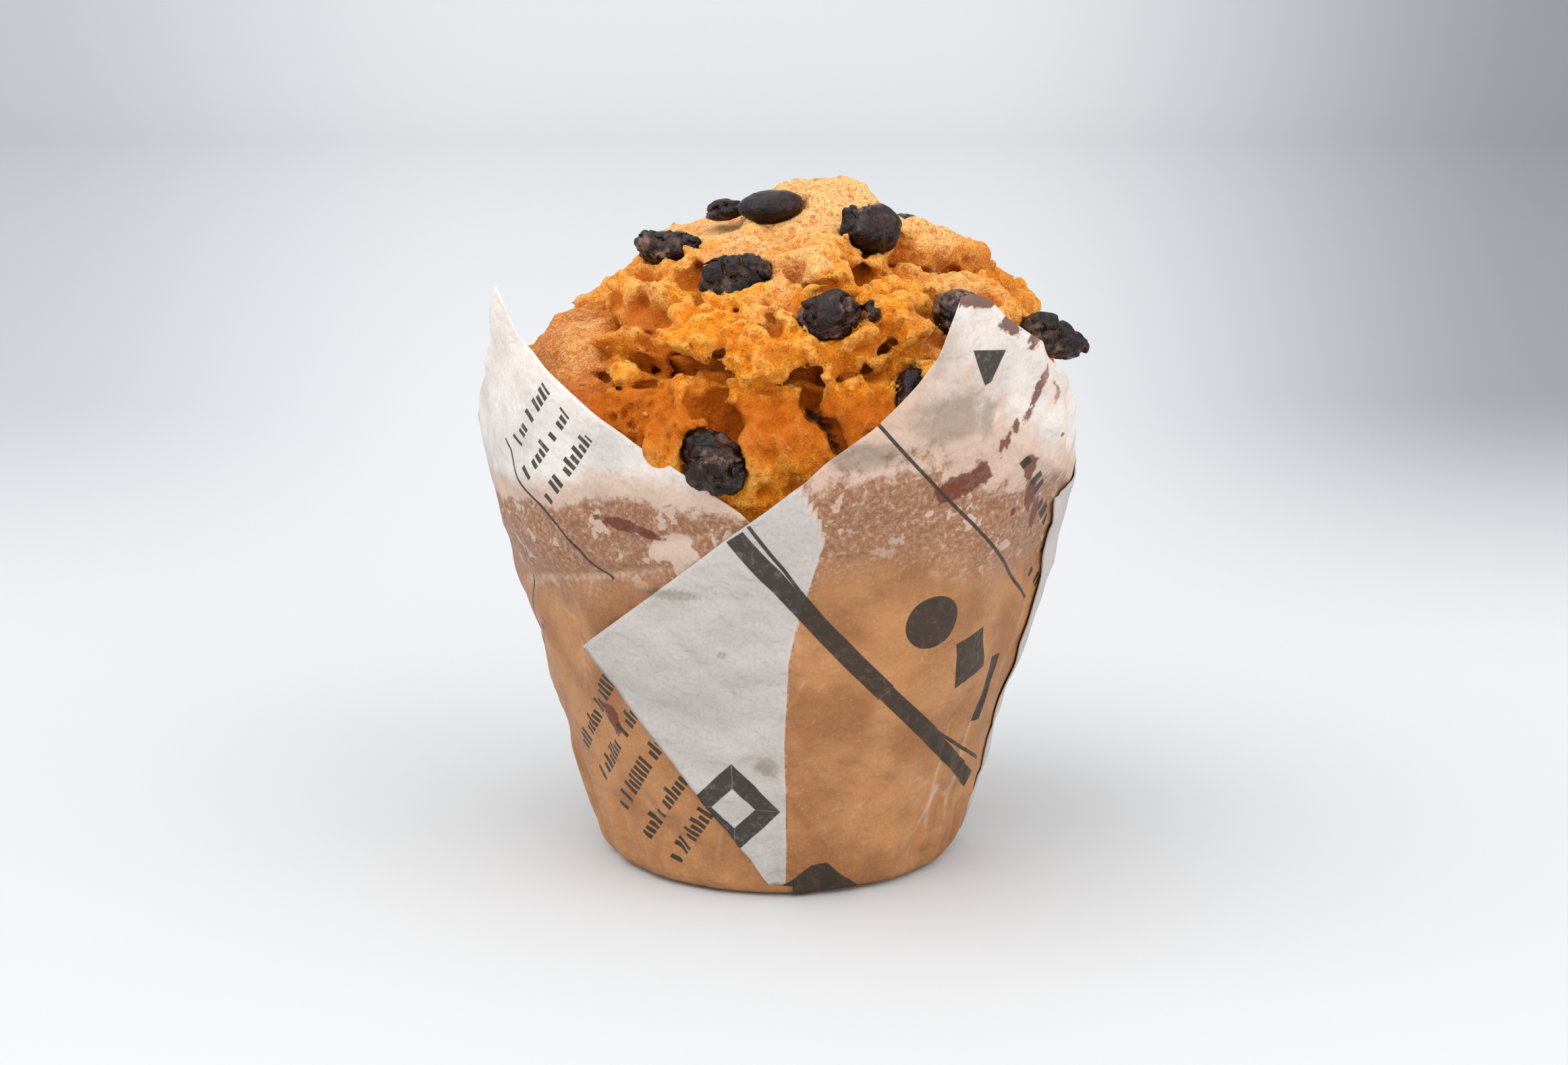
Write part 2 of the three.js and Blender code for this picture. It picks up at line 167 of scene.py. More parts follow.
def skin(field, low, step):
    """Vertices and quads where the field passes zero, by surface nets. `low` is the grid's corner."""
    inside = field < 0
    shape = np.array(field.shape) - 1
    count = np.zeros(shape, np.int8)
    corners = list(np.ndindex(2, 2, 2))
    for i, j, k in corners:
        count += inside[i:shape[0] + i, j:shape[1] + j, k:shape[2] + k]
    cells = np.argwhere((count > 0) & (count < 8))
    number = np.full(shape, -1, np.int64)
    number[tuple(cells.T)] = np.arange(len(cells))
    values = [field[tuple((cells + corner).T)] for corner in corners]
    total = np.zeros((len(cells), 3))
    crossings = np.zeros(len(cells))
    for a, start in enumerate(corners):
        for b, end in enumerate(corners):
            if b > a and np.abs(np.subtract(start, end)).sum() == 1:
                crossed = (values[a] < 0) != (values[b] < 0)
                gap = np.where(crossed, values[a] - values[b], 1)
                share = np.where(crossed, values[a] / gap, 0)
                place = np.array(start) + share[:, None] * np.subtract(end, start)
                total += place * crossed[:, None]
                crossings += crossed
    vertices = low + (cells + total / crossings[:, None]) * step
    quads = []
    for axis in range(3):
        u, v = (axis + 1) % 3, (axis + 2) % 3
        here = [slice(1, None)] * 3
        there = [slice(1, None)] * 3
        here[axis], there[axis] = slice(0, -1), slice(1, None)
        first, second = inside[tuple(here)], inside[tuple(there)]
        spots = np.argwhere(first != second) + 1
        spots[:, axis] -= 1
        spots = spots[(spots < shape).all(-1)]
        unit_u, unit_v = np.eye(3, dtype=int)[u], np.eye(3, dtype=int)[v]
        ring = [spots, spots - unit_u, spots - unit_u - unit_v, spots - unit_v]
        quad = np.stack([number[tuple(spot.T)] for spot in ring], -1)
        outwards = inside[tuple(spots.T)]
        quads.append(np.where(outwards[:, None], quad, quad[:, ::-1]))
    quads = np.concatenate(quads)
    return vertices, quads[(quads >= 0).all(-1)]

# %% [markdown]
# The rest of the lesson keeps its lists in millimetres. `new_mesh` makes them a Blender mesh in metres,
# `positions` reads them back, and `paint` stores a mask for a material.

# %% Small tools for meshes


def new_mesh(name, vertices, faces):
    """A mesh object from millimetres, linked to the scene, with smooth faces."""
    mesh = bpy.data.meshes.new(name)
    mesh.vertices.add(len(vertices))
    mesh.vertices.foreach_set("co", (np.asarray(vertices) * MILLIMETRE).astype(np.float32).ravel())
    sides = faces.shape[1]
    mesh.loops.add(faces.size)
    mesh.loops.foreach_set("vertex_index", faces.astype(np.int32).ravel())
    mesh.polygons.add(len(faces))
    mesh.polygons.foreach_set("loop_start", np.arange(0, faces.size, sides, dtype=np.int32))
    mesh.update(calc_edges=True)
    mesh.validate()
    mesh.shade_smooth()
    piece = bpy.data.objects.new(name, mesh)
    bpy.context.scene.collection.objects.link(piece)
    return piece


def positions(piece):
    """A piece's vertices, in millimetres."""
    points = np.zeros(len(piece.data.vertices) * 3, np.float32)
    piece.data.vertices.foreach_get("co", points)
    return points.reshape(-1, 3).astype(float) / MILLIMETRE


def paint(piece, name, values):
    """Stores one number for each vertex, which a material reads by its name."""
    layer = piece.data.attributes.new(name, "FLOAT", "POINT")
    layer.data.foreach_set("value", np.asarray(values, np.float32))


def edge_ends(piece):
    """The two vertices of every edge, as two lists."""
    ends = np.zeros(len(piece.data.edges) * 2, np.int32)
    piece.data.edges.foreach_get("vertices", ends)
    return ends.reshape(-1, 2).T


def apply_modifiers(piece):
    """Makes the piece's modifiers part of its mesh."""
    evaluated = piece.evaluated_get(bpy.context.evaluated_depsgraph_get())
    mesh = bpy.data.meshes.new_from_object(evaluated)
    piece.modifiers.clear()
    piece.data = mesh


def triangles(piece):
    return sum(len(face.vertices) - 2 for face in piece.data.polygons)


# %% [markdown]
# A muffin's top sets while the middle still rises, so the crust splits along ragged tears. Above a
# tear the crust stands out as a lip, below it the soft crumb lies deeper. Each tear is a path of
# azimuths and heights on the plain dome, with its width, its depth, the height of its lip, how far
# the crumb below sinks, and how far the gap cuts back in under the lip.

# %% Tears, hollows, nodules and crust
TEARS = [
    ([(-90, 85.5), (-74, 86), (-64, 84.6), (-56, 83.4), (-50, 82.5)], 1.6, 1.2, 1.6, 3.6, 0.6),
    ([(-38, 79), (-33, 78.6), (-28, 78.2), (-23, 78.8), (-17, 78), (-9, 76.6), (-2, 76.9), (5, 76.2),
      (9, 77.2), (15, 78.3), (19, 80)], 1.7, 2.6, 3.5, 2.0, 3.2),
    ([(4, 76), (5, 73.5), (4.6, 72), (8.5, 70.3), (9.4, 68.8), (10.9, 67.2), (14, 64)],
     0.7, 1.6, 0.3, 0.2, 1.0),
    ([(28, 92.4), (21, 90.4), (16, 88.2), (13, 86.6), (12, 84.6)], 1.0, 1.6, 1.6, 0.9, 1.2),
    ([(-4, 88.2), (0, 86.6), (3.6, 85.6), (7, 86)], 0.9, 1.2, 1.5, 0.8, 0.8),
    ([(-8, 83.4), (-6.4, 81.6), (-4.1, 79.6)], 0.5, 0.9, 0.2, 0.0, 0.4),
    ([(-47, 90.4), (-38, 88.6), (-32, 86.2), (-27, 84.6), (-18, 84.4)], 1.0, 0.8, 1.0, 0.7, 0.4),
    ([(-46, 75.5), (-38, 74.4), (-31, 75.4)], 0.8, 0.9, 0.5, 0.4, 0.5),
    ([(18, 79.5), (27, 81), (34, 79.4), (40, 78), (52, 81)], 1.0, 1.6, 1.0, 0.8, 1.0),
    ([(40, 91.5), (52, 90.5), (62, 89.4), (74, 89), (84, 87), (104, 87)], 1.2, 1.6, 1.4, 0.8, 1.0),
    ([(24, 86), (31, 86.8), (38, 86)], 0.8, 1.1, 0.6, 0.3, 0.5),
    ([(78, 79), (96, 76), (118, 78), (132, 75)], 1.8, 2.6, 2.2, 1.4, 2.2),
    ([(128, 86), (150, 82), (172, 84.5), (190, 81)], 1.8, 2.8, 2.4, 1.4, 2.4),
    ([(196, 90), (218, 86), (236, 88)], 1.4, 2.0, 1.6, 1.0, 1.4),
    ([(204, 78), (226, 75), (248, 78), (268, 76)], 1.8, 2.6, 2.0, 1.2, 2.2),
    ([(160, 93), (176, 90), (196, 92)], 1.0, 1.4, 1.2, 0.6, 0.8),
]
HOLLOWS = [
    ((-43, 83.6), (5.2, 3.0, 4.4), 0.4),
    ((-36, 81.0), (3.2, 2.6, 4.0), 1.2),
    ((-30.6, 78.6), (1.6, 1.2, 3.0), 1.4),
    ((-17, 73.2), (2.8, 3.2, 4.6), 1.0),
    ((-12, 70.4), (2.4, 4.0, 5.4), 1.6),
    ((-24.5, 77.4), (1.3, 0.8, 2.6), 0.8),
    ((-60, 87.4), (4.2, 1.8, 2.4), 0.0),
    ((-36, 87.8), (2.6, 1.4, 1.8), 0.2),
    ((17, 89.4), (3.6, 1.6, 3.0), 0.6),
    ((33, 83.6), (2.8, 1.8, 2.2), 0.2),
    ((5, 74.6), (1.8, 1.4, 3.4), 0.6),
    ((55, 84.5), (3.6, 2.0, 2.4), 0.2),
    ((100, 82), (4.0, 2.6, 4.0), 0.6),
    ((150, 77), (4.6, 3.0, 4.4), 0.8),
    ((205, 85), (4.0, 2.8, 4.0), 0.6),
    ((240, 81), (3.6, 2.4, 3.6), 0.6),
    ((275, 79), (3.4, 2.2, 3.0), 0.4),
]
NODULES = [
    ((64, 92.6), 2.4), ((70, 91.6), 1.7), ((80, 91.4), 2.2), ((86, 90.2), 1.6), ((78, 89.8), 1.6),
    ((92, 88.6), 2.0), ((88, 86.6), 2.4), ((97, 85.4), 2.0), ((84, 84.4), 1.8), ((90, 82.2), 2.6),
    ((99, 80.4), 2.2), ((84, 79.6), 2.0), ((120, 86), 2.4), ((133, 83), 2.0), ((-96, 83.2), 2.0),
]
CRUST_PLATES = [
    ((-20, 96), 13.0, 1.0), ((20, 94), 8.0, 0.9), ((-60, 92.6), 8.0, 0.8), ((-30, 90), 7.0, 0.8),
    ((-70, 78), 12.0, 0.8), ((-52, 74), 9.0, 0.7), ((-86, 76), 12.0, 0.8), ((20, 84), 5.0, 0.5),
    ((60, 93), 7.0, 0.4), ((120, 92), 14.0, 0.9), ((170, 95), 12.0, 0.9), ((230, 93), 12.0, 0.9),
    ((180, 74), 12.0, 0.7), ((110, 72), 10.0, 0.7), ((240, 72), 12.0, 0.7), ((-4, 88.4), 5.0, 0.8),
]
CROWN_PLATE = (np.array([5.0, -1.5, 95.0]), 13.0, 4.8)
SLUMPS = [
    ((-29, -3, 84.5), 6.5, 4.6), ((-27, 7, 85), 7.0, 4.6), ((-39, -6, 81), 11.0, 2.4),
    ((-20, 0, 92), 6.0, 1.0), ((38, -4, 83), 8.0, 2.4), ((42, -3, 77), 9.0, 3.0),
]

# %% [markdown]
# A tear is followed piece by piece. What lies above it belongs to the lip, what lies below it sinks.

# %% The way to a tear


def nearest_on_path(points, path):
    """Distance to a path on the dome, and how far above it each point lies."""
    places = [dome_point(azimuth, height) for azimuth, height in path]
    best = np.full(len(points), 1e9)
    above = np.zeros(len(points))
    for start, end in zip(places, places[1:]):
        run = end - start
        share = np.clip(((points - start) @ run) / (run @ run), 0, 1)
        nearest = start + share[:, None] * run
        distance = gap_to(points, nearest)
        closer = distance < best
        best = np.where(closer, distance, best)
        inwards = np.hypot(nearest[:, 0], nearest[:, 1]) - np.hypot(points[:, 0], points[:, 1])
        above = np.where(closer, points[:, 2] - nearest[:, 2] + 0.6 * inwards, above)
    return best, above


# %% [markdown]
# Seen from its heart, the muffin has one distance in every direction. That table of distances is the
# coarse shape: the plain dome, pushed out at lips and plates and drawn in at tears. It is worked out
# once for a fine fan of directions and then looked up for every point of the grid.

# %% The coarse shape as a table of directions
FALLS = np.radians(np.linspace(0, 132, 529))
TURNS = np.radians(np.linspace(-180, 180, 1081))
WALL_CLEARANCE = 1.6
NEAREST, FARTHEST = 5.0, 90.0
HALVINGS = 18
FREE_FROM, FREE_AT = 54.0, 62.0
LOW_CRUMB = (-76, -71)


def inside_plain_muffin(points):
    """Whether each point lies in the plain dome and inside the paper's wall."""
    x, y, height = points[..., 0], points[..., 1], points[..., 2]
    share = np.clip((height - SHOULDER_HEIGHT) / DOME_RISE, 0, None)
    radius = np.hypot(x - DOME_LEAN * np.minimum(share, 1), y)
    dome = (radius / SHOULDER_RADIUS) ** DOME_SIDE_POWER + share ** (1 / DOME_TOP_POWER) < 1
    wall = radius < np.minimum(SHOULDER_RADIUS, wall_radius(height) - WALL_CLEARANCE)
    return dome & wall


def plain_reach():
    """How far the plain muffin reaches from its heart in each direction, by halving."""
    fall, turn = np.meshgrid(FALLS, TURNS, indexing="ij")
    parts = [np.sin(fall) * np.sin(turn), -np.sin(fall) * np.cos(turn), np.cos(fall)]
    direction = np.stack(parts, -1)
    low, high = np.full(fall.shape, NEAREST), np.full(fall.shape, FARTHEST)
    for _ in range(HALVINGS):
        middle = (low + high) / 2
        inside = inside_plain_muffin(HEART + middle[..., None] * direction)
        low, high = np.where(inside, middle, low), np.where(inside, high, middle)
    return direction, low

# %% Lips, sunk crumb and plates


def coarse_relief(points):
    """Lips, sunk crumb, tears and plates on the plain muffin, and how torn each place is."""
    relief = np.zeros(len(points))
    torn = np.full(len(points), 0.5)
    wobble = 1.2 * cloud(points, 5.0, 3) + 0.7 * cloud(points, 2.2, 4)
    for path, width, depth, lip, sink, _ in TEARS:
        distance, above = nearest_on_path(points, path)
        side = smoothstep(above + wobble, -0.9, 0.9)
        reach = np.exp(-((distance / (4.2 + 1.5 * width)) ** 2))
        relief += reach * (lip * side - sink * (1 - side))
        relief -= depth * np.exp(-(((distance + 0.5 * wobble) / width) ** 2))
        torn += 0.5 * np.exp(-((distance / 7) ** 2)) * (1 - 0.4 * side)
    for place, radius, strength in CRUST_PLATES:
        torn -= strength * within(gap_to(points, dome_point(*place)) + 1.5 * wobble, radius, 0.6)
    low_crumb = smoothstep(-points[:, 2], *LOW_CRUMB)
    torn += 0.4 * low_crumb * smoothstep(points[:, 0], -24, -14) * (points[:, 1] < 0)
    centre, radius, height = CROWN_PLATE
    distance = np.linalg.norm((points - centre) * [1, 1, 1.4], axis=-1) + wobble
    relief += height * within(distance, radius, 0.1)
    for centre, radius, depth in SLUMPS:
        relief -= depth * np.exp(-((gap_to(points, np.array(centre)) / radius) ** 2))
    relief += 1.1 * cloud(points, 13.0, 5) + 0.8 * cloud(points, 7.0, 6) - 0.9
    return relief, np.clip(torn, 0, 1)


direction, plain = plain_reach()
flat_points = (HEART + plain[..., None] * direction).reshape(-1, 3)
relief, torn_table = coarse_relief(flat_points)
free = smoothstep(flat_points[:, 2], FREE_FROM, FREE_AT)
reach_table = plain + (relief * free).reshape(plain.shape)
torn_table = torn_table.reshape(plain.shape)
slope_fall = np.gradient(reach_table, FALLS, axis=0) / reach_table
slope_turn = np.gradient(reach_table, TURNS, axis=1) / (reach_table * np.sin(FALLS + 0.02)[:, None])
steepness = np.clip(1 / np.sqrt(1 + slope_fall**2 + slope_turn**2), 0.3, 1)
print("directions in the table:", reach_table.size)

# %% Read a table of directions


def look_up(table, offset):
    """Reads a table of directions at offsets from the heart, blended between its entries."""
    distance = np.linalg.norm(offset, axis=-1)
    fall = np.arccos(np.clip(offset[:, 2] / np.maximum(distance, 1e-6), -1, 1))
    turn = np.arctan2(offset[:, 0], -offset[:, 1])
    row = np.clip(fall / (FALLS[1] - FALLS[0]), 0, len(FALLS) - 1.001)
    column = np.clip((turn + np.pi) / (TURNS[1] - TURNS[0]), 0, len(TURNS) - 1.001)
    i, j = row.astype(int), column.astype(int)
    a, b = row - i, column - j
    upper = table[i, j] * (1 - b) + table[i, j + 1] * b
    lower = table[i + 1, j] * (1 - b) + table[i + 1, j + 1] * b
    return upper * (1 - a) + lower * a


# %% [markdown]
# Close to that coarse surface the field gets its fine shape: lumps, furrows and grains, most of them
# where the crumb is torn, gaps that run back in under the lips, and the beads of browned batter along
# the right edge. Where the paper leans in, the crumb stays behind it. Last, each chip gets its socket,
# so that crumb and chocolate never cross.

# %% The crumb's field
GRID_STEP = 0.42
GRID_LOW = np.array([-46.0, -46.0, 49.0])
GRID_HIGH = np.array([48.0, 46.0, 101.0])
BAND_INSIDE = 6.5
BAND_OUTSIDE = 2.6
PAPER_REACH = 84.0
LEAN, LEAN_AT_LEFT = 1.6, 2.0
MIDDLE_OF_FURROWS = 0.36


def carve(field, hollow, softness=0.5):
    """Takes a hollow out of a field, with a rounded edge."""
    blend = np.clip(0.5 - 0.5 * (field + hollow) / softness, 0, 1)
    return field * (1 - blend) - hollow * blend + softness * blend * (1 - blend)


def join(field, other, softness=0.8):
    """Adds a shape to a field, with a rounded seam."""
    blend = np.clip(0.5 + 0.5 * (other - field) / softness, 0, 1)
    return other * (1 - blend) + field * blend - softness * blend * (1 - blend)

# %% Lumps, gaps under lips, hollows and beads


def outward_at(azimuth, height):
    """A place on the coarse surface, with the way out, the way round and the way up there."""
    aim = dome_point(azimuth, height)
    out = (aim - HEART) / np.linalg.norm(aim - HEART)
    place = HEART + out * look_up(reach_table, (aim - HEART)[None])[0]
    round_about = np.cross([0, 0, 1.0], out)
    round_about /= np.linalg.norm(round_about)
    return place, out, round_about, np.cross(out, round_about)


def roughen(points, field):
    """Lumps, furrows and grains, strongest where the crumb is torn."""
    torn = look_up(torn_table, points - HEART)
    rough = (0.3 + 0.7 * torn) * (0.25 + 0.75 * smoothstep(points[:, 2], 52, 60))
    field = field - rough * (0.7 * cloud(points, 4.4, 11) + 0.5 * cloud(points, 2.2, 12))
    bent = points + 0.6 * np.stack([cloud(points, 2.0, seed) for seed in (14, 21, 22)], -1)
    field -= 0.6 * rough * (np.abs(cloud(bent, 3.3, 15)) - MIDDLE_OF_FURROWS)
    field += (0.05 + 0.42 * rough) * (np.abs(cloud(bent, 1.7, 23)) - MIDDLE_OF_FURROWS)
    return field - 0.18 * (0.3 + rough) * cloud(points, 0.85, 13)


def cut_under_lips(points, field):
    """A gap along each tear, back in under the lip of crust above it."""
    for path, _, depth, _, _, undercut in TEARS:
        places = []
        for spot in path:
            place, out, _, up = outward_at(*spot)
            places.append(place - (0.5 * depth + 0.6 * undercut) * out + 0.5 * undercut * up)
        for start, end in zip(places, places[1:]):
            run = end - start
            close = gap_to(points, (start + end) / 2) < 0.5 * np.linalg.norm(run) + 4
            offset = points[close] - start
            share = np.clip((offset @ run) / (run @ run), 0, 1)
            gap = np.linalg.norm(offset - share[:, None] * run, axis=-1)
            gap += 0.5 * cloud(points[close], 2.4, 17) - (0.5 + 0.45 * undercut)
            field[close] = carve(field[close], gap, 0.8)
    return field


def sink_hollows(points, field):
    """Ragged hollows, each an ellipsoid sunk below the surface."""
    for spot, size, sunk in HOLLOWS:
        place, out, side, up = outward_at(*spot)
        close = gap_to(points, place) < max(size) + sunk + 3
        offset = points[close] - (place - sunk * out)
        local = np.stack([offset @ side / size[0], offset @ up / size[1], offset @ out / size[2]], -1)
        distance = (np.linalg.norm(local, axis=-1) - 1) * min(size)
        field[close] = carve(field[close], distance + 0.7 * cloud(points[close], 2.6, 18), 1.2)
    return field


def add_nodules(points, field):
    """Beads of browned batter that stand out from the edge."""
    for spot, radius in NODULES:
        place, out, _, _ = outward_at(*spot)
        offset = gap_to(points, place - 0.35 * radius * out) - radius
        close = offset < 2.5
        bead = offset[close] - 0.2 * cloud(points[close], 1.4, 19)
        field[close] = join(field[close], bead, 0.7)
    return field


def crumb_detail(points, field):
    """The fine shape, for points near the coarse surface."""
    for step in (roughen, cut_under_lips, sink_hollows, add_nodules):
        field = step(points, field)
    return field

# %% [markdown]
# A fine grid over the whole dome has millions of points, so the slow part is worked out only in a thin
# band round the coarse surface. Where the paper leans in, the crumb is held back behind it.

# %% The whole field


def crumb_field():
    """The crumb as a grid of numbers, worked out finely only near its surface."""
    counts = np.ceil((GRID_HIGH - GRID_LOW) / GRID_STEP).astype(int) + 1
    axes = [GRID_LOW[i] + GRID_STEP * np.arange(counts[i]) for i in range(3)]
    field = np.empty(counts, np.float32)
    for k in range(counts[2]):
        x, y = np.meshgrid(axes[0], axes[1], indexing="ij")
        points = np.stack([x, y, np.full_like(x, axes[2][k])], -1).reshape(-1, 3)
        offset = points - HEART
        distance = np.linalg.norm(offset, axis=-1)
        gap = (distance - look_up(reach_table, offset)) * look_up(steepness, offset)
        field[:, :, k] = gap.reshape(counts[:2])
    near = np.argwhere((field > -BAND_INSIDE) & (field < BAND_OUTSIDE))
    points = GRID_LOW + GRID_STEP * near
    print("grid points near the surface:", len(points))
    detail = in_slices(crumb_detail, points, field[tuple(near.T)])
    leftwards = smoothstep(np.degrees(np.arctan2(-points[:, 0], -points[:, 1])), 20, 50)
    lean = (LEAN + LEAN_AT_LEFT * leftwards) * smoothstep(points[:, 2], 58, PAPER_REACH)
    wall = wall_radius(points[:, 2]) - WALL_CLEARANCE - lean
    limit = np.hypot(points[:, 0], points[:, 1]) - wall
    field[tuple(near.T)] = np.where(points[:, 2] < PAPER_REACH, np.maximum(detail, limit), detail)
    field[:, :, 0] = 1.0
    return field


# %% [markdown]
# Each chip is a drop of chocolate that softened, sagged and set again with a wrinkled skin. Some are
# buried so that only a window of them shows, and the others lie open in their sockets. Its place
# comes from the solid model: the middle of its node and the way out from the heart. The table adds
# its three diameters, its spin, how crumpled it is, and extra lobes such as a drawn-out tail.

# %% Chips: sizes, spin, crumpling, shift to the right and up, and lobes
CHIPS = {
    1: ((7.4, 5.4, 4.2), 24, 0.7, (1.4, 1.0), []),
    2: ((9.4, 7.4, 4.2), 16, 0.06, (0.0, 0.3), []),
    3: ((9.6, 6.4, 5.2), 12, 1.0, (1.0, -1.1), [((3.2, 0.6, 0.6), 1.8)]),
    4: ((8.2, 7.6, 6.6), 10, 0.4, (0.9, 0.0), [((-2.2, 2.6, 1.6), 1.3)]),
    5: ((10.6, 6.6, 5.2), 16, 1.0, (0.0, -1.0), [((3.4, 0.6, 0.9), 1.9)]),
    6: ((8.8, 8.0, 6.2), 35, 0.85, (-0.4, 0.2), [((4.0, -3.2, 1.2), 1.7)]),
    7: ((8.0, 7.6, 5.8), 0, 0.4, (0.2, -1.2), []),
    8: ((11.0, 6.6, 6.2), -36, 0.9, (0.4, -0.6), [((3.8, -0.4, 1.6), 1.9)]),
    9: ((8.4, 8.2, 6.0), 5, 1.0, (1.2, -1.6), [((-0.6, 2.8, 0.8), 1.8)]),
    10: ((3.6, 6.2, 3.0), -30, 0.9, (0.0, -1.0), []),
    11: ((9.0, 8.0, 5.8), -35, 0.6, (0.0, 0.0), []),
    12: ((9.6, 8.0, 6.0), 15, 0.3, (0.0, 0.0), []),
    13: ((10.0, 8.4, 6.0), 20, 0.8, (0.0, 0.0), [((2.6, 1.6, 1.0), 2.0)]),
    14: ((9.8, 7.6, 5.6), 50, 0.5, (0.0, 0.0), []),
    15: ((8.6, 8.0, 5.4), -10, 0.7, (0.0, 0.0), []),
    16: ((10.0, 8.6, 6.4), 40, 0.9, (0.0, 0.0), [((-2.8, -1.0, 1.2), 2.0)]),
    17: ((9.0, 7.6, 5.4), -20, 0.2, (0.0, 0.0), []),
    18: ((9.6, 8.2, 6.0), 5, 0.7, (0.0, 0.0), []),
    19: ((9.2, 7.8, 5.6), -30, 0.6, (0.0, 0.0), []),
}
BURIED_CHIPS = (1, 7, 10, 8)
CHIP_STEP = 0.24
SOCKET_GAP = 0.25
CHIP_REACH = 9.0
CHIP_SHIFT = 40.0
CHIP_MARGIN = 2.2


def chip_frame(number):
    """A chip's middle, and its across, up and out directions with the spin taken in."""
    low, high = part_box(f"chip_{number:02d}")
    middle = (np.array(low) + np.array(high)) / 2 / MILLIMETRE
    out = (middle - HEART) / np.linalg.norm(middle - HEART)
    across = np.cross([0, 0, 1.0], out)
    across /= np.linalg.norm(across)
    up = np.cross(out, across)
    shift = CHIPS[number][3]
    middle = middle + shift[0] * across + shift[1] * up
    spin = math.radians(CHIPS[number][1])
    turned = math.cos(spin) * across + math.sin(spin) * up
    return middle, np.array([turned, np.cross(out, turned), out])

# %% A chip as a field


def chip_body(local, size):
    """Distance to a chip's plain ellipsoid, in its own frame."""
    half = np.array(size) / 2
    scaled = np.linalg.norm(local / half, axis=-1)
    return (scaled - 1) * half.min() / np.maximum(scaled, 0.6) ** 0.3


def chip_field(local, number):
    """A wrinkled chip: lobes, folds across the top, and fine puckers."""
    size, _, crumple, _, lobes = CHIPS[number]
    shifted = local + CHIP_SHIFT * number
    field = chip_body(local * (1 + 0.03 * crumple), size)
    for place, radius in lobes:
        field = join(field, gap_to(local, np.array(place)) - radius, 1.0)
    top = smoothstep(local[:, 2], -1.0, 1.0)
    field -= 0.75 * (0.2 + 0.8 * crumple) * cloud(shifted, 3.6, 31)
    fold = np.abs(cloud(shifted, 2.6, 32))
    field += 0.9 * crumple * top * np.exp(-((fold / 0.2) ** 2))
    fold = np.abs(cloud(shifted, 1.4, 33))
    field += 0.36 * (0.08 + 0.92 * crumple) * np.exp(-((fold / 0.22) ** 2))
    return field - 0.08 * (0.2 + crumple) * cloud(shifted, 0.8, 34)


def cut_sockets(points, field):
    """Takes the chips, grown by a thin gap, out of the crumb's field, with an open well above them."""
    for number in CHIPS:
        middle, axes = chip_frame(number)
        close = gap_to(points, middle) < CHIP_REACH
        local = (points[close] - middle) @ axes.T
        field[close] = np.maximum(field[close], SOCKET_GAP - chip_field(local, number))
        half = np.array(CHIPS[number][0]) / 2
        spread = np.hypot(local[:, 0] / half[0], local[:, 1] / half[1])
        well = (1.06 - spread) * half[:2].min()
        if number not in BURIED_CHIPS:
            opened = np.maximum(field[close], well)
            field[close] = np.where(local[:, 2] > 0.3, opened, field[close])
    return field


# %% [markdown]
# The crumb is built in two parts. Its top is skinned from the field and thinned to a fixed number of
# triangles, which keeps them small where the shape is rough. The part inside the paper never shows,
# so a smooth stack of rings does for it. Scraps that the tears cut free are dropped.

# %% Build the crumb
CRUMB_TRIANGLES = 190000
UNDERPART_LOW, UNDERPART_TOP = 0.8, 50.5
UNDERPART_GAP = 1.4
AXIS = 0.01


def underpart():
    """The smooth part of the crumb inside the paper, as rings from the foot upwards."""
    levels = [UNDERPART_LOW, UNDERPART_LOW, 3.9, 12, 22, 32, 42, UNDERPART_TOP, UNDERPART_TOP]
    heights = np.array(levels)
    radii = wall_radius(heights) - UNDERPART_GAP
    radii[1] = FILLET_RADIUS - 0.4
    radii[0] = radii[-1] = AXIS
    azimuths = np.arange(0, 360, 5.0)
    rings = [around(azimuths, radius, height) for radius, height in zip(radii, heights)]
    return closed_rings(rings)

# %% Rings, and the part inside the paper


def closed_rings(rings):
    """Vertices and quads of a stack of equal rings, each counted round the same way."""
    vertices = np.concatenate(rings)
    around_count, levels = len(rings[0]), len(rings)
    level, column = np.meshgrid(np.arange(levels - 1), np.arange(around_count), indexing="ij")
    following = (column + 1) % around_count
    a, b = level * around_count + column, level * around_count + following
    c, d = (level + 1) * around_count + following, (level + 1) * around_count + column
    return vertices, np.stack([a, b, c, d], -1).reshape(-1, 4)


def build_crumb():
    """The baked top, skinned from its field and thinned."""
    field = crumb_field()
    near = np.argwhere(np.abs(field) < BAND_OUTSIDE)
    points = GRID_LOW + GRID_STEP * near
    field[tuple(near.T)] = cut_sockets(points, field[tuple(near.T)].astype(float))
    vertices, quads = skin(field, GRID_LOW, GRID_STEP)
    piece = new_mesh("crumb_look", vertices, quads)
    print("crumb as first skinned:", triangles(piece), "triangles")
    thinner = piece.modifiers.new("thinner", "DECIMATE")
    thinner.ratio = min(1.0, CRUMB_TRIANGLES / triangles(piece))
    apply_modifiers(piece)
    return piece


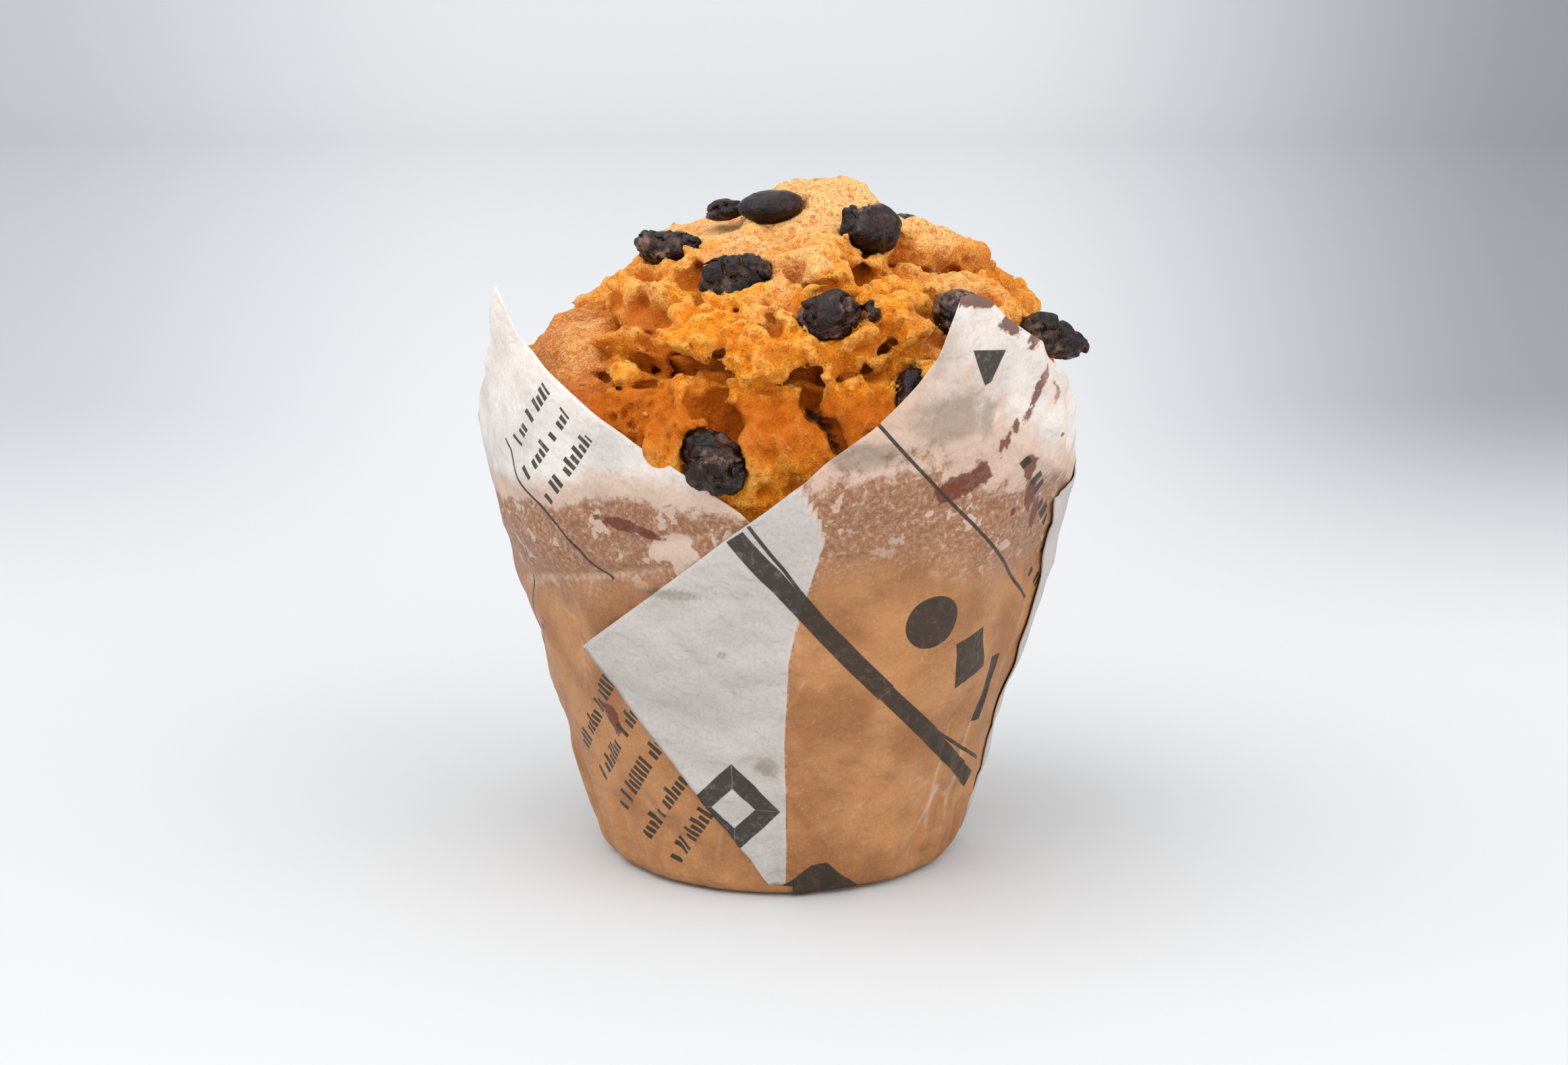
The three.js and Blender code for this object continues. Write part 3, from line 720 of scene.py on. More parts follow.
def drop_scraps(piece, least=400):
    """The piece's vertices and faces without the loose islands that the tears cut free."""
    mesh = piece.data
    first, second = edge_ends(piece)
    label = np.arange(len(mesh.vertices))
    while True:
        lowest = np.minimum(label[first], label[second])
        fresh = label.copy()
        np.minimum.at(fresh, first, lowest)
        np.minimum.at(fresh, second, lowest)
        fresh = fresh[fresh]
        if (fresh == label).all():
            break
        label = fresh
    islands, sizes = np.unique(label, return_counts=True)
    keep = np.isin(label, islands[sizes >= least])
    faces = np.array([face.vertices[:] for face in mesh.polygons if len(face.vertices) == 3])
    faces = faces[keep[faces].all(-1)]
    renumber = np.cumsum(keep) - 1
    vertices = positions(piece)[keep]
    return vertices, renumber[faces]


crumb = build_crumb()
crumb.modifiers.new("three_sided", "TRIANGULATE")
apply_modifiers(crumb)
vertices, faces = drop_scraps(crumb)
bpy.data.objects.remove(crumb)
low_vertices, low_quads = underpart()
low_faces = np.concatenate([low_quads[:, [0, 1, 2]], low_quads[:, [0, 2, 3]]])
all_vertices = np.concatenate([vertices, low_vertices])
all_faces = np.concatenate([faces, low_faces + len(vertices)])
crumb = new_mesh("crumb_look", all_vertices, all_faces)
print("crumb:", triangles(crumb), "triangles")

# %% [markdown]
# The crumb's colour follows how it baked. Crust that met the oven is golden and browns on ridges. Torn crumb
# is yellower. Deep in a hollow, and low down in front, it is painted a darker orange, as painted shade and as
# light that has passed through crumb, and the pale places are painted light. These masks are worked out at
# each vertex and stored on the mesh for the material to read.

# %% Paint the crumb's masks
BROWN_PLACES = [
    ((-80, 76), 14, 1.0), ((-62, 74), 13, 1.0), ((-46, 75), 10, 0.9), ((-30, 74), 9, 0.7),
    ((-66, 83), 7, 0.5), ((-40, 68), 8, 0.5), ((24, 70), 8, 0.7), ((16, 66), 7, 0.5), ((2, 66), 9, 0.35),
    ((30, 80), 7, 0.35), ((80, 90), 9, 0.8), ((90, 84), 9, 0.9), ((-50, 90), 5, 0.4), ((-24, 90), 5, 0.45),
    ((10, 79), 5, 0.3), ((-5, 72), 7, 0.3), ((120, 84), 12, 0.6), ((170, 80), 14, 0.5),
    ((220, 82), 13, 0.6), ((200, 92), 9, 0.4), ((260, 78), 12, 0.7),
]
# Places that are painted paler, as painted light.
PAINTED_LIGHT_PLACES = [
    ((50, 86.5), 11, 1.0), ((-47, 84), 7, 0.6), ((36, 81), 6, 0.6), ((10, 93), 9, 0.5), ((-30, 93), 7, 0.4),
    ((-12, 84), 6, 0.5),
]
CHOCOLATE_STREAK = [(4.2, 73.4), (5.6, 72.4), (7.8, 71.4), (8.4, 70.2), (9.6, 68.8), (10.9, 67.2), (13, 65)]
CRUMB_MASKS = ("torn", "hollow", "brown", "chocolate", "ridge", "pale")
CHOCOLATE_SMEARS = [((22, 76.5), 3.4), ((26, 73.5), 3.0), ((-13, 62), 2.2), ((60, 78), 3.0)]

# %% Work out the masks


def ridge_height(piece, rounds=8):
    """How far each vertex stands above its smoothed surroundings, in millimetres."""
    mesh = piece.data
    first, second = edge_ends(piece)
    count = len(mesh.vertices)
    points = positions(piece)
    normals = np.zeros(count * 3, np.float32)
    mesh.vertices.foreach_get("normal", normals)
    neighbours = np.bincount(first, minlength=count) + np.bincount(second, minlength=count)
    smooth = points.copy()
    for _ in range(rounds):
        total = np.stack([np.bincount(first, smooth[second, axis], count)
                          + np.bincount(second, smooth[first, axis], count) for axis in range(3)], -1)
        smooth = 0.2 * smooth + 0.8 * total / np.maximum(neighbours, 1)[:, None]
    return ((points - smooth) * normals.reshape(-1, 3)).sum(-1)


def places_mask(points, places, wobble, core):
    """The strongest of soft discs, each round a place on the dome."""
    mask = np.zeros(len(points))
    for place, radius, strength in places:
        reach = gap_to(points, dome_point(*place)) + wobble
        mask = np.maximum(mask, strength * within(reach, radius, core))
    return mask


def paint_crumb(piece):
    """Works out the crumb's masks and stores them. Places are compared on the plain dome."""
    points = positions(piece)
    offset = points - HEART
    distance = np.linalg.norm(offset, axis=-1)
    torn = look_up(torn_table, offset)
    # The hollow mask is for painted shade: how deep a place lies below the coarse and the plain surface, and
    # the low crumb in front.
    hollow = np.clip((look_up(reach_table, offset) - distance) / 4.0, 0, 1)
    hollow = np.maximum(hollow, np.clip((look_up(plain, offset) - distance - 2.5) / 7.0, 0, 1))
    low_crumb = smoothstep(-points[:, 2], *LOW_CRUMB)
    hollow = np.maximum(hollow, 0.62 * low_crumb * smoothstep(points[:, 2], 60, 70))
    points = HEART + offset * (look_up(plain, offset) / distance)[:, None]
    wobble = 2.4 * cloud(points, 6.0, 41) + 1.2 * cloud(points, 2.5, 42)
    brown = places_mask(points, BROWN_PLACES, wobble, 0.3)
    # The pale mask is painted light: the listed places are painted paler, as if lit.
    pale = places_mask(points, PAINTED_LIGHT_PLACES, wobble, 0.2)
    streak, _ = nearest_on_path(points, CHOCOLATE_STREAK)
    chocolate = smoothstep(-streak - 0.5 * cloud(points, 1.2, 43), -1.3, -0.5)
    for place, radius in CHOCOLATE_SMEARS:
        near = gap_to(points, dome_point(*place)) + 1.6 * cloud(points, 2.0, 44)
        chocolate = np.maximum(chocolate, 0.85 * smoothstep(-near, -0.62 * radius, -0.3 * radius))
    for name, values in zip(CRUMB_MASKS, (torn, hollow, brown, chocolate, ridge_height(piece), pale)):
        paint(piece, name, values)
    print("mean torn and brown:", round(float(torn.mean()), 2), round(float(brown.mean()), 2))


paint_crumb(crumb)

# %% [markdown]
# Every chip gets its own small grid, in its own frame, and is then turned and moved to its place.

# %% Build the chips


def build_chip(number):
    """One chip from its field, with its dusty places painted on."""
    middle, axes = chip_frame(number)
    half = np.array(CHIPS[number][0]) / 2 + CHIP_MARGIN
    counts = np.ceil(2 * half / CHIP_STEP).astype(int) + 1
    grid = np.stack(np.meshgrid(*[np.arange(count) for count in counts], indexing="ij"), -1)
    local = (grid.reshape(-1, 3) * CHIP_STEP - half).astype(float)
    field = chip_field(local, number).reshape(counts)
    vertices, quads = skin(field, -half, CHIP_STEP)
    piece = new_mesh(f"chip_look_{number:02d}", middle + vertices @ axes, quads)
    shifted = vertices + CHIP_SHIFT * number
    dust = smoothstep(cloud(shifted, 3.0, 51) + 0.5 * cloud(shifted, 1.2, 52), 0.25, 1.1)
    folds = np.exp(-((cloud(shifted, 2.6, 32) / 0.26) ** 2)) * CHIPS[number][2]
    paint(piece, "dust", np.clip(dust + 0.5 * folds, 0, 1))
    return piece


chips = {number: build_chip(number) for number in CHIPS}
print("chips:", len(chips), "with", sum(triangles(chip) for chip in chips.values()), "triangles")

# %% [markdown]
# The paper is one square of greaseproof, pressed down over a round foot. Unrolled, the wall is a flat
# fan, so a petal's cut edges are straight lines on the fan and curves on the muffin. Between two
# petals the spare paper folds back under itself, which leaves a flap with three plies. Each petal is
# one grid of points: first the hidden ply, then the fold, the flap, and the petal itself.

# %% The paper's outline
FIRST_NOTCH = -9.0
BEYOND_TIP = 200.0
PETALS = [
    {"corner": 31.5, "reach": 3.0, "tip": 87.6, "lean_in": 1.5},
    {"corner": 126.0, "reach": -5.0, "tip": BEYOND_TIP, "lean_in": 3.0},
    {"corner": 216.0, "reach": -6.0, "tip": BEYOND_TIP, "lean_in": 3.0},
    {"corner": 301.0, "reach": 1.2, "tip": BEYOND_TIP, "lean_in": 5.2},
]
FLAPS = [
    {"foot": -3.5, "corner": -45.0, "corner_height": 37.0, "root": 4.0, "lift": 1.6},
    {"foot": 88.0, "corner": 66.0, "corner_height": 55.0, "root": 100.0, "lift": 0.3},
    {"foot": 181.0, "corner": 150.0, "corner_height": 44.0, "root": 186.0, "lift": 1.4},
    {"foot": 271.0, "corner": 240.0, "corner_height": 42.0, "root": 276.0, "lift": 1.2},
]
FRONT_EDGES = {
    0: [(-9, 54.5), (0.7, 60.7), (8.7, 66.0), (16.5, 70.5), (22.8, 75.4), (25.4, 78.9), (26.3, 83.4),
        (27.3, 87.2), (29.5, 87.4), (33, 86.3), (37.9, 83.4), (43.3, 81), (47, 79.6), (50.1, 76.9),
        (55, 74), (61.3, 70), (67.7, 66.7)],
    3: [(301, 85.6), (303, 82.5), (306.5, 79.6), (314, 76.0), (320, 73.4), (325, 71.0), (334.5, 66.6),
        (344, 62.8), (353, 58.4), (370, 47.0)],
}
PLY_GAP = 0.2
FOOT_LEVEL = 0.02
PETAL_MIDDLE = FIRST_NOTCH + 45
PETAL_STRETCH = 400.0

# %% [markdown]
# The cut edge is a straight line on the flat fan. At the two petals in front it follows the drawn
# points instead, because handling has bent and torn it. Buckles and the lean of the tips come after.

# %% From azimuth and height to the paper


def petal_edge(number, azimuth):
    """Height of a petal's cut edge, also past its notches, where it runs on under or over."""
    petal = PETALS[number]
    along = azimuth - FIRST_NOTCH - 90 * number
    corner_along = petal["corner"] - FIRST_NOTCH - 90 * number
    offset = along - corner_along
    turn = 45 * np.where(offset < 0, -offset / corner_along, offset / (90 - corner_along))
    fan_corner = CONE_TOP + SHEET_SIDE / math.sqrt(2) - FOOT_RADIUS + petal["reach"]
    fan_turn = np.radians(turn) * math.sin(WALL_ANGLE)
    slant = fan_corner / (np.cos(fan_turn) + np.sin(fan_turn)) - CONE_TOP
    wave = 0.5 * np.sin(0.21 * along + petal["corner"])
    edge = np.minimum(slant * math.cos(WALL_ANGLE), petal["tip"]) + wave
    if number == 0:
        drawn = np.interp(azimuth, *np.array(FRONT_EDGES[0], float).T)
        edge = drawn + (edge - drawn) * smoothstep(azimuth, 58, 68)
    elif number == 3:
        drawn = np.interp(azimuth, *np.array(FRONT_EDGES[3], float).T)
        edge = edge + (drawn - edge) * smoothstep(azimuth, 299, 301.5)
    return edge


def paper_wave(number, azimuth, height):
    """How far the paper stands out from the plain wall: buckles, and a tip that leans in."""
    turn = np.radians(azimuth)
    buckle = 0.4 * np.sin(3 * turn + 0.05 * height + 2) + 0.45 * np.sin(7 * turn - 0.09 * height + 1)
    lean_in = PETALS[number]["lean_in"]
    return buckle * smoothstep(height, 6, 50) - lean_in * smoothstep(height, 56, 84)


def paper_point(number, azimuth, height, outwards):
    """A point of the paper, from azimuth and height, pushed out from the wall."""
    bend = np.arccos(np.clip(1 - height / FOOT_FILLET, -1, 1))
    low_radius = FILLET_RADIUS + (FOOT_FILLET + outwards) * np.sin(bend)
    low_height = np.maximum(FOOT_FILLET - (FOOT_FILLET + outwards) * np.cos(bend), PAPER_THICKNESS / 4)
    wave = paper_wave(number, azimuth, height)
    high_radius = wall_radius(height) + wave + outwards * math.cos(WALL_ANGLE)
    high_height = height - outwards * math.sin(WALL_ANGLE)
    low = height < FILLET_TOP
    return around(azimuth, np.where(low, low_radius, high_radius), np.where(low, low_height, high_height))


def flat_place(number, azimuth, height):
    """Where a point lies on the flat sheet, in millimetres from the petal's foot, right and up."""
    from_middle = np.mod(azimuth - (PETAL_MIDDLE + 90 * number) + 180, 360) - 180
    turn = np.radians(from_middle) * math.sin(WALL_ANGLE)
    reach = CONE_TOP + height / math.cos(WALL_ANGLE)
    return np.stack([reach * np.sin(turn), reach * np.cos(turn) - CONE_TOP], -1)


# %% [markdown]
# Paper that has been pressed and handled keeps its creases. A crease is a short straight line on the flat
# sheet, where the surface rises or falls to a sharp ridge and fades out at both ends. Most are drawn by a
# seeded rule, and the few that give the photograph's paper its look are listed.

# %% Creases
CREASES_A_PETAL = 60
DEEPEST_DENT = -0.8
# Width of the crease lines that get a painted highlight.
HIGHLIGHT_LINE_WIDTH = 0.4
HAND_CREASES = {
    0: [((58, 8), (62, 34), -0.8, 1.6), ((50, 6), (49, 26), -0.6, 1.3), ((66, 5), (70, 22), 0.6, 1.4),
        ((40, 3), (52, 14), -0.5, 1.4), ((-6, 66), (30, 84), 0.3, 3.0), ((72, 40), (84, 60), -0.7, 1.8),
        ((30, 86), (38, 80), -0.5, 1.6), ((44, 82), (50, 72), 0.5, 1.6), ((58, 71), (66, 62), -0.5, 1.8),
        ((-52, 46), (-22, 50), -0.9, 1.4), ((44, 66), (70, 58), 1.2, 1.5), ((52, 78), (60, 60), 1.1, 1.3),
        ((60, 72), (76, 64), 1.4, 1.5), ((40, 60), (54, 74), 0.8, 1.2), ((66, 50), (82, 40), -0.8, 1.2),
        ((-20, 4), (-12, 20), 0.4, 1.2), ((36, 18), (66, 10), -0.6, 1.4), ((70, 30), (60, 46), 0.6, 1.2)],
    3: [((-78, 42), (-52, 46), -1.1, 1.6), ((-52, 46), (-22, 50), -0.8, 1.8),
        ((-86, 33), (-70, 36), -0.5, 1.6), ((-84, 52), (-66, 49), 0.4, 2.0),
        ((-60, 16), (-52, 34), 0.35, 1.4), ((-48, 6), (-44, 28), -0.35, 1.6)],
}

# %% The relief of creases, ripples and gathers


def crease_lines(number):
    """The creases of a petal, each with two ends on the flat sheet, a rise and a width."""
    chance = np.random.default_rng(70 + number)
    lines = []
    for _ in range(CREASES_A_PETAL):
        start = np.array([chance.uniform(-50, 34), chance.uniform(2, 80)])
        turn, length = chance.uniform(0, math.pi), chance.uniform(6, 24)
        end = start + length * np.array([math.cos(turn), math.sin(turn)])
        lines.append((start, end, chance.uniform(-0.5, 0.5), chance.uniform(0.6, 1.8)))
    for start, end, rise, width in HAND_CREASES.get(number, []):
        ends = [flat_place(number, a, h) for a, h in (start, end)]
        lines.append((ends[0], ends[1], rise, width))
    return lines


def petal_relief(number, azimuth, height, lines_only):
    """Height of a petal's creases and ripples in millimetres, or how strongly its crease lines get a painted
    highlight.
    """
    flat = flat_place(number, azimuth, height)
    relief = np.zeros(azimuth.shape)
    for start, end, rise, width in crease_lines(number):
        run = end - start
        length = np.linalg.norm(run)
        along = ((flat - start) @ run) / length**2
        across = np.abs((flat - start) @ np.array([-run[1], run[0]])) / length
        fade = smoothstep(along, -0.15, 0.2) * smoothstep(-along, -1.15, -0.8)
        if lines_only:
            relief += abs(rise) * fade * np.exp(-across / HIGHLIGHT_LINE_WIDTH)
        else:
            relief += rise * fade * np.exp(-across / width)
    if lines_only:
        return relief
    spots = np.concatenate([flat, 0 * flat[..., :1]], -1).reshape(-1, 3)
    ripple = 0.3 * cloud(spots, 11.0, 80 + number) + 0.26 * np.abs(cloud(spots, 7.0, 84 + number)) - 0.09
    ripple += 0.1 * cloud(spots, 3.4, 88 + number)
    return relief + ripple.reshape(azimuth.shape)


def crease_relief(azimuth, height, lines_only=False):
    """The relief of whichever petal lies on top there. Plies that touch take the same creases."""
    relief = np.zeros(azimuth.shape)
    for number in range(4):
        after = np.mod(azimuth - FLAPS[number]["corner"] + 10, 360) - 10
        before = np.mod(azimuth - FLAPS[(number + 1) % 4]["corner"] + 10, 360) - 10
        share = smoothstep(after, -8, 0) * (after < 180) - smoothstep(before, -8, 0) * (before < 180)
        share = np.where(share < 0, share + 1, share)
        if (share > 0).any():
            relief += share * petal_relief(number, azimuth, height, lines_only)
    return relief


def pleat_relief(azimuth, height):
    """Small gathers that fan out from the foot."""
    turn = np.radians(azimuth)
    gathers = np.abs(np.sin(11 * turn + 0.9 * np.sin(4 * turn) + 0.06 * height))
    gathers += 0.6 * np.abs(np.sin(23 * turn + 1 - 0.1 * height))
    strength = 0.6 + 0.6 * np.abs(np.sin(turn + 0.1))
    return 0.85 * strength * (gathers - 0.95) * smoothstep(height, 0.2, 3) * smoothstep(-height, -22, -3)


# %% [markdown]
# A petal is laid out as columns from left to right. The hidden ply and the flap share one grid that
# turns back at the free fold, and each ply stands a little further out than the one below it. All
# plies take the same creases, so that they never cross.

# %% Build one petal
FRONT_GRID = {"flap": 46, "petal": 110, "rows": 93}
BACK_GRID = {"flap": 30, "petal": 62, "rows": 60}
FLAP_FOOT = 2.2


def flap_grid(number, across, up):
    """Azimuths and heights over a flap: across runs from its free fold to its root."""
    flap = FLAPS[number]
    root_top = petal_edge(number, flap["root"])
    side = flap["foot"] + (flap["corner"] - flap["foot"]) * up - 1.8 * np.sin(math.pi * up)
    azimuth = side + (flap["root"] - side) * across
    top = flap["corner_height"] + (root_top - flap["corner_height"]) * across - np.sin(math.pi * across)
    return azimuth, FLAP_FOOT + (top - FLAP_FOOT) * up


def petal_part(number, azimuth, height, outwards):
    """Points and flat places for a grid of azimuths and heights, with all the relief."""
    relief = crease_relief(azimuth, height) * smoothstep(height, 0.5, 6)
    relief = np.maximum(relief + pleat_relief(azimuth, height), DEEPEST_DENT)
    place = paper_point(number, azimuth, height, outwards + relief)
    flat = flat_place(number, azimuth, height)
    return place, np.stack([flat[..., 0] + PETAL_STRETCH * number, flat[..., 1], 0 * azimuth], -1)


def petal_grid(number):
    """The hidden ply, the flap and the petal of one corner of the sheet, side by side."""
    flap = FLAPS[number]
    grid = FRONT_GRID if number in (0, 3) else BACK_GRID
    rows = np.linspace(0, 1, grid["rows"])[:, None]
    parts = []
    across = np.linspace(1, 0, grid["flap"] // 2)[None]
    azimuth, height = flap_grid(number, *np.broadcast_arrays(across, rows))
    lift = flap["lift"] * rows**2 * (1 - across) ** 2
    parts.append((azimuth, height + 0.5 * rows * (1 - across) ** 4, PLY_GAP + lift, 1.0))
    across = np.linspace(0, 1, grid["flap"])[None, :-1]
    azimuth, height = flap_grid(number, *np.broadcast_arrays(across, rows))
    lift = flap["lift"] * rows**2 * (1 - across) ** 2
    parts.append((azimuth, height, 2 * PLY_GAP + lift, 1.0))
    end = FLAPS[(number + 1) % 4]["root"] + (360 if number == 3 else 0) + 3.0
    columns = np.linspace(flap["root"], end, grid["petal"])
    corners = [spot for spot, _ in FRONT_EDGES.get(number, []) if flap["root"] < spot < end]
    azimuth = np.sort(np.concatenate([columns, corners]))[None] + 0 * rows
    edge = petal_edge(number, azimuth[0])
    height = rows * edge
    rising = 2 * PLY_GAP * smoothstep(-azimuth, -flap["root"] - 12, -flap["root"])
    parts.append((azimuth, height, rising, 0.0))
    places, flats, plies = [], [], []
    for azimuth, height, outwards, ply in parts:
        place, flat = petal_part(number, azimuth, height, outwards)
        places.append(place)
        flats.append(flat)
        plies.append(np.full(azimuth.shape, ply))
    return np.concatenate(places, 1), np.concatenate(flats, 1), np.concatenate(plies, 1)

# %% Build the whole paper


def build_paper():
    """The four petals and the round of paper under the foot, as one mesh's lists."""
    vertices, flats, plies, faces = [], [], [], []
    count = 0
    for number in range(4):
        place, flat, ply = petal_grid(number)
        rows, columns = place.shape[:2]
        i, j = np.meshgrid(np.arange(rows - 1), np.arange(columns - 1), indexing="ij")
        corner = count + i * columns + j
        above = corner + columns
        faces.append(np.stack([corner, corner + 1, above + 1, above], -1).reshape(-1, 4))
        vertices.append(place.reshape(-1, 3))
        flats.append(flat.reshape(-1, 3))
        plies.append(ply.ravel())
        count += rows * columns
    azimuths = np.arange(0, 360, 3.0)
    radii = np.array([AXIS, 6, 12, 18, FILLET_RADIUS + 0.3])
    rings = [around(azimuths, radius, FOOT_LEVEL) for radius in radii]
    disc, quads = closed_rings(rings)
    faces.append(quads + count)
    vertices.append(disc)
    flats.append(np.concatenate([disc[:, :2] - PETAL_STRETCH, np.zeros((len(disc), 1))], -1))
    plies.append(np.zeros(len(disc)))
    return tuple(np.concatenate(part) for part in (vertices, flats, plies, faces))


vertices, flats, plies, faces = build_paper()
paper = new_mesh("paper_look", vertices, faces)
layer = paper.data.attributes.new("sheet", "FLOAT_VECTOR", "POINT")
layer.data.foreach_set("vector", flats.astype(np.float32).ravel())
print("paper:", triangles(paper), "triangles before its thickness")

# %% [markdown]
# Greaseproof paper turns brown and clear where it soaks up fat from the cake, and stays white where it stands
# free or lies in several plies, where it gets painted shade. That contact is a mask on the mesh, worked out
# from where each point lies. The material adds its ragged edge.

# %% Paint the paper's masks
CONTACT_TOP = [(-180, 56), (-140, 55), (-99, 54), (-72, 55.4), (-54, 56.6), (-43, 57.2), (-35.5, 59.0),
               (-26, 59.7), (-9, 58), (1, 59.7), (10.6, 63), (20, 64), (29, 63), (42, 60), (60, 59.9),
               (81, 56), (126, 58), (160, 55), (180, 56)]
SOAKING = 34.0
PATCH_TURN, PATCH_STRENGTH = 24, 0.56
FLAP_TOP = 62
GREASE_FADE = [(-180, 16), (-9, 16), (0, 60), (20, 84), (38, 74), (50, 30), (62, 18), (180, 16)]
PLY_RIGHT_EDGE = [
    (0, 1.5), (8.6, 1.7), (24, 1.0), (36.8, 1.8), (42, 3.4), (46.8, 5.2), (54, 8.1), (57.7, 6.7), (61, 4),
]
WHITE_PATCHES = [((-21.5, 53.0), (4.6, 2.2)), ((-18.0, 51.0), (2.8, 3.6))]
SMUDGES = [
    ((-3.6, 21), (1.9, 1.6)), ((14.5, 66), (5.4, 2.4)), ((30, 70.6), (6.4, 3.8)), ((-12, 38), (1.0, 0.5)),
    ((-22, 46.5), (6, 0.7)), ((37, 70), (1.6, 3.0)),
]
STAINS = [
    ((-30.6, 55.6), (5.0, 1.1), -6, 0.9), ((-25.5, 54.6), (2.6, 0.8), -14, 0.9),
    ((-36, 56.2), (1.0, 0.7), 0, 0.8), ((-46.3, 25.7), (1.7, 2.6), 20, 0.85),
    ((-44.6, 23.6), (0.7, 1.4), -30, 0.8), ((33, 60.9), (4.6, 1.9), 22, 1.0),
    ((37.5, 62.6), (2.2, 1.5), -60, 0.95), ((41.5, 66), (1.2, 2.4), -12, 0.7),
    ((30.6, 86.4), (5.4, 1.3), -4, 0.9), ((38.6, 82.4), (1.5, 3.0), 55, 0.75),
    ((44.5, 79.6), (1.6, 2.0), 50, 0.7), ((48.4, 73.6), (1.0, 4.6), -22, 0.8),
    ((46.6, 69.6), (0.9, 2.0), -40, 0.7), ((52, 72), (0.8, 3.2), 10, 0.6),
    ((48, 62.4), (1.5, 2.4), 24, 0.9), ((52, 58), (1.7, 3.2), 30, 1.0), ((57, 54.4), (1.5, 3.0), 24, 1.0),
    ((47.4, 56), (0.8, 0.8), 0, 0.9), ((62, 60), (1.0, 2.4), 0, 0.8), ((60, 65), (0.8, 1.6), 20, 0.7),
    ((56, 66), (0.5, 0.6), 0, 0.8), ((43.5, 68.4), (0.6, 1.4), 0, 0.8), ((-72, 60), (0.6, 1.0), 0, 0.6),
]

# %% Turn the lists into masks


def spots_mask(azimuth, height, spots, soft=0.4):
    """A mask of soft ellipses, each with a middle, two half-sizes, a turn and a strength."""
    mask = np.zeros(len(azimuth))
    for (middle, level), (wide, tall), turn, strength in spots:
        right = np.radians(azimuth - middle) * wall_radius(height)
        angle = math.radians(turn)
        a = (right * math.cos(angle) + (height - level) * math.sin(angle)) / wide
        b = ((height - level) * math.cos(angle) - right * math.sin(angle)) / tall
        mask = np.maximum(mask, strength * np.clip(1 + soft - np.hypot(a, b), 0, 1))
    return mask


def paint_paper(piece, flats, plies):
    """Stores where the paper is greasy, folded (painted greyer as shade), stained and smudged, and its crease
    lines (given painted highlights).
    """
    points = positions(piece)
    front_sheet = np.abs(flats[:, 0]) < PETAL_STRETCH / 2
    azimuth = np.degrees(np.arctan2(points[:, 0], -points[:, 1]))
    height = points[:, 2]
    top = np.interp(azimuth, *np.array(CONTACT_TOP, float).T)
    fade = np.interp(azimuth, *np.array(GREASE_FADE, float).T)
    contact = np.clip(0.5 + (top - height) / np.where(height > top, fade, SOAKING), 0, 1)
    right = np.interp(height, *np.array(PLY_RIGHT_EDGE, float).T) - azimuth
    covered = np.where(front_sheet, smoothstep(right, -0.7, 0.7) * (height < FLAP_TOP), plies)
    contact = np.minimum(contact, 1 - covered)
    patches = [(middle, size, PATCH_TURN, PATCH_STRENGTH) for middle, size in WHITE_PATCHES]
    contact = np.minimum(contact, 1 - spots_mask(azimuth, height, patches, 0.7))
    paint(piece, "contact", contact)
    paint(piece, "folded", covered)
    paint(piece, "crease", crease_relief(azimuth, height, lines_only=True))
    paint(piece, "stain", spots_mask(azimuth, height, STAINS))
    smudges = [(middle, size, 0, 1.0) for middle, size in SMUDGES]
    paint(piece, "smudge", spots_mask(azimuth, height, smudges))


paint_paper(paper, flats, plies)
thickness = paper.modifiers.new("thickness", "SOLIDIFY")
thickness.thickness = PAPER_THICKNESS * MILLIMETRE
thickness.offset = -1
apply_modifiers(paper)
print("paper:", triangles(paper), "triangles")

# %% [markdown]
# Materials are built from small helpers, so that a node takes one line. Grain and print are node
# groups with named inputs, because they are used more than once with other values.

# %% Node helpers


def linear(red, green, blue):
    """A colour as seen on a screen (0 to 255), as the linear numbers that nodes use."""
    parts = [part / 255 for part in (red, green, blue)]
    return [p / 12.92 if p < 0.04045 else ((p + 0.055) / 1.055) ** 2.4 for p in parts] + [1.0]


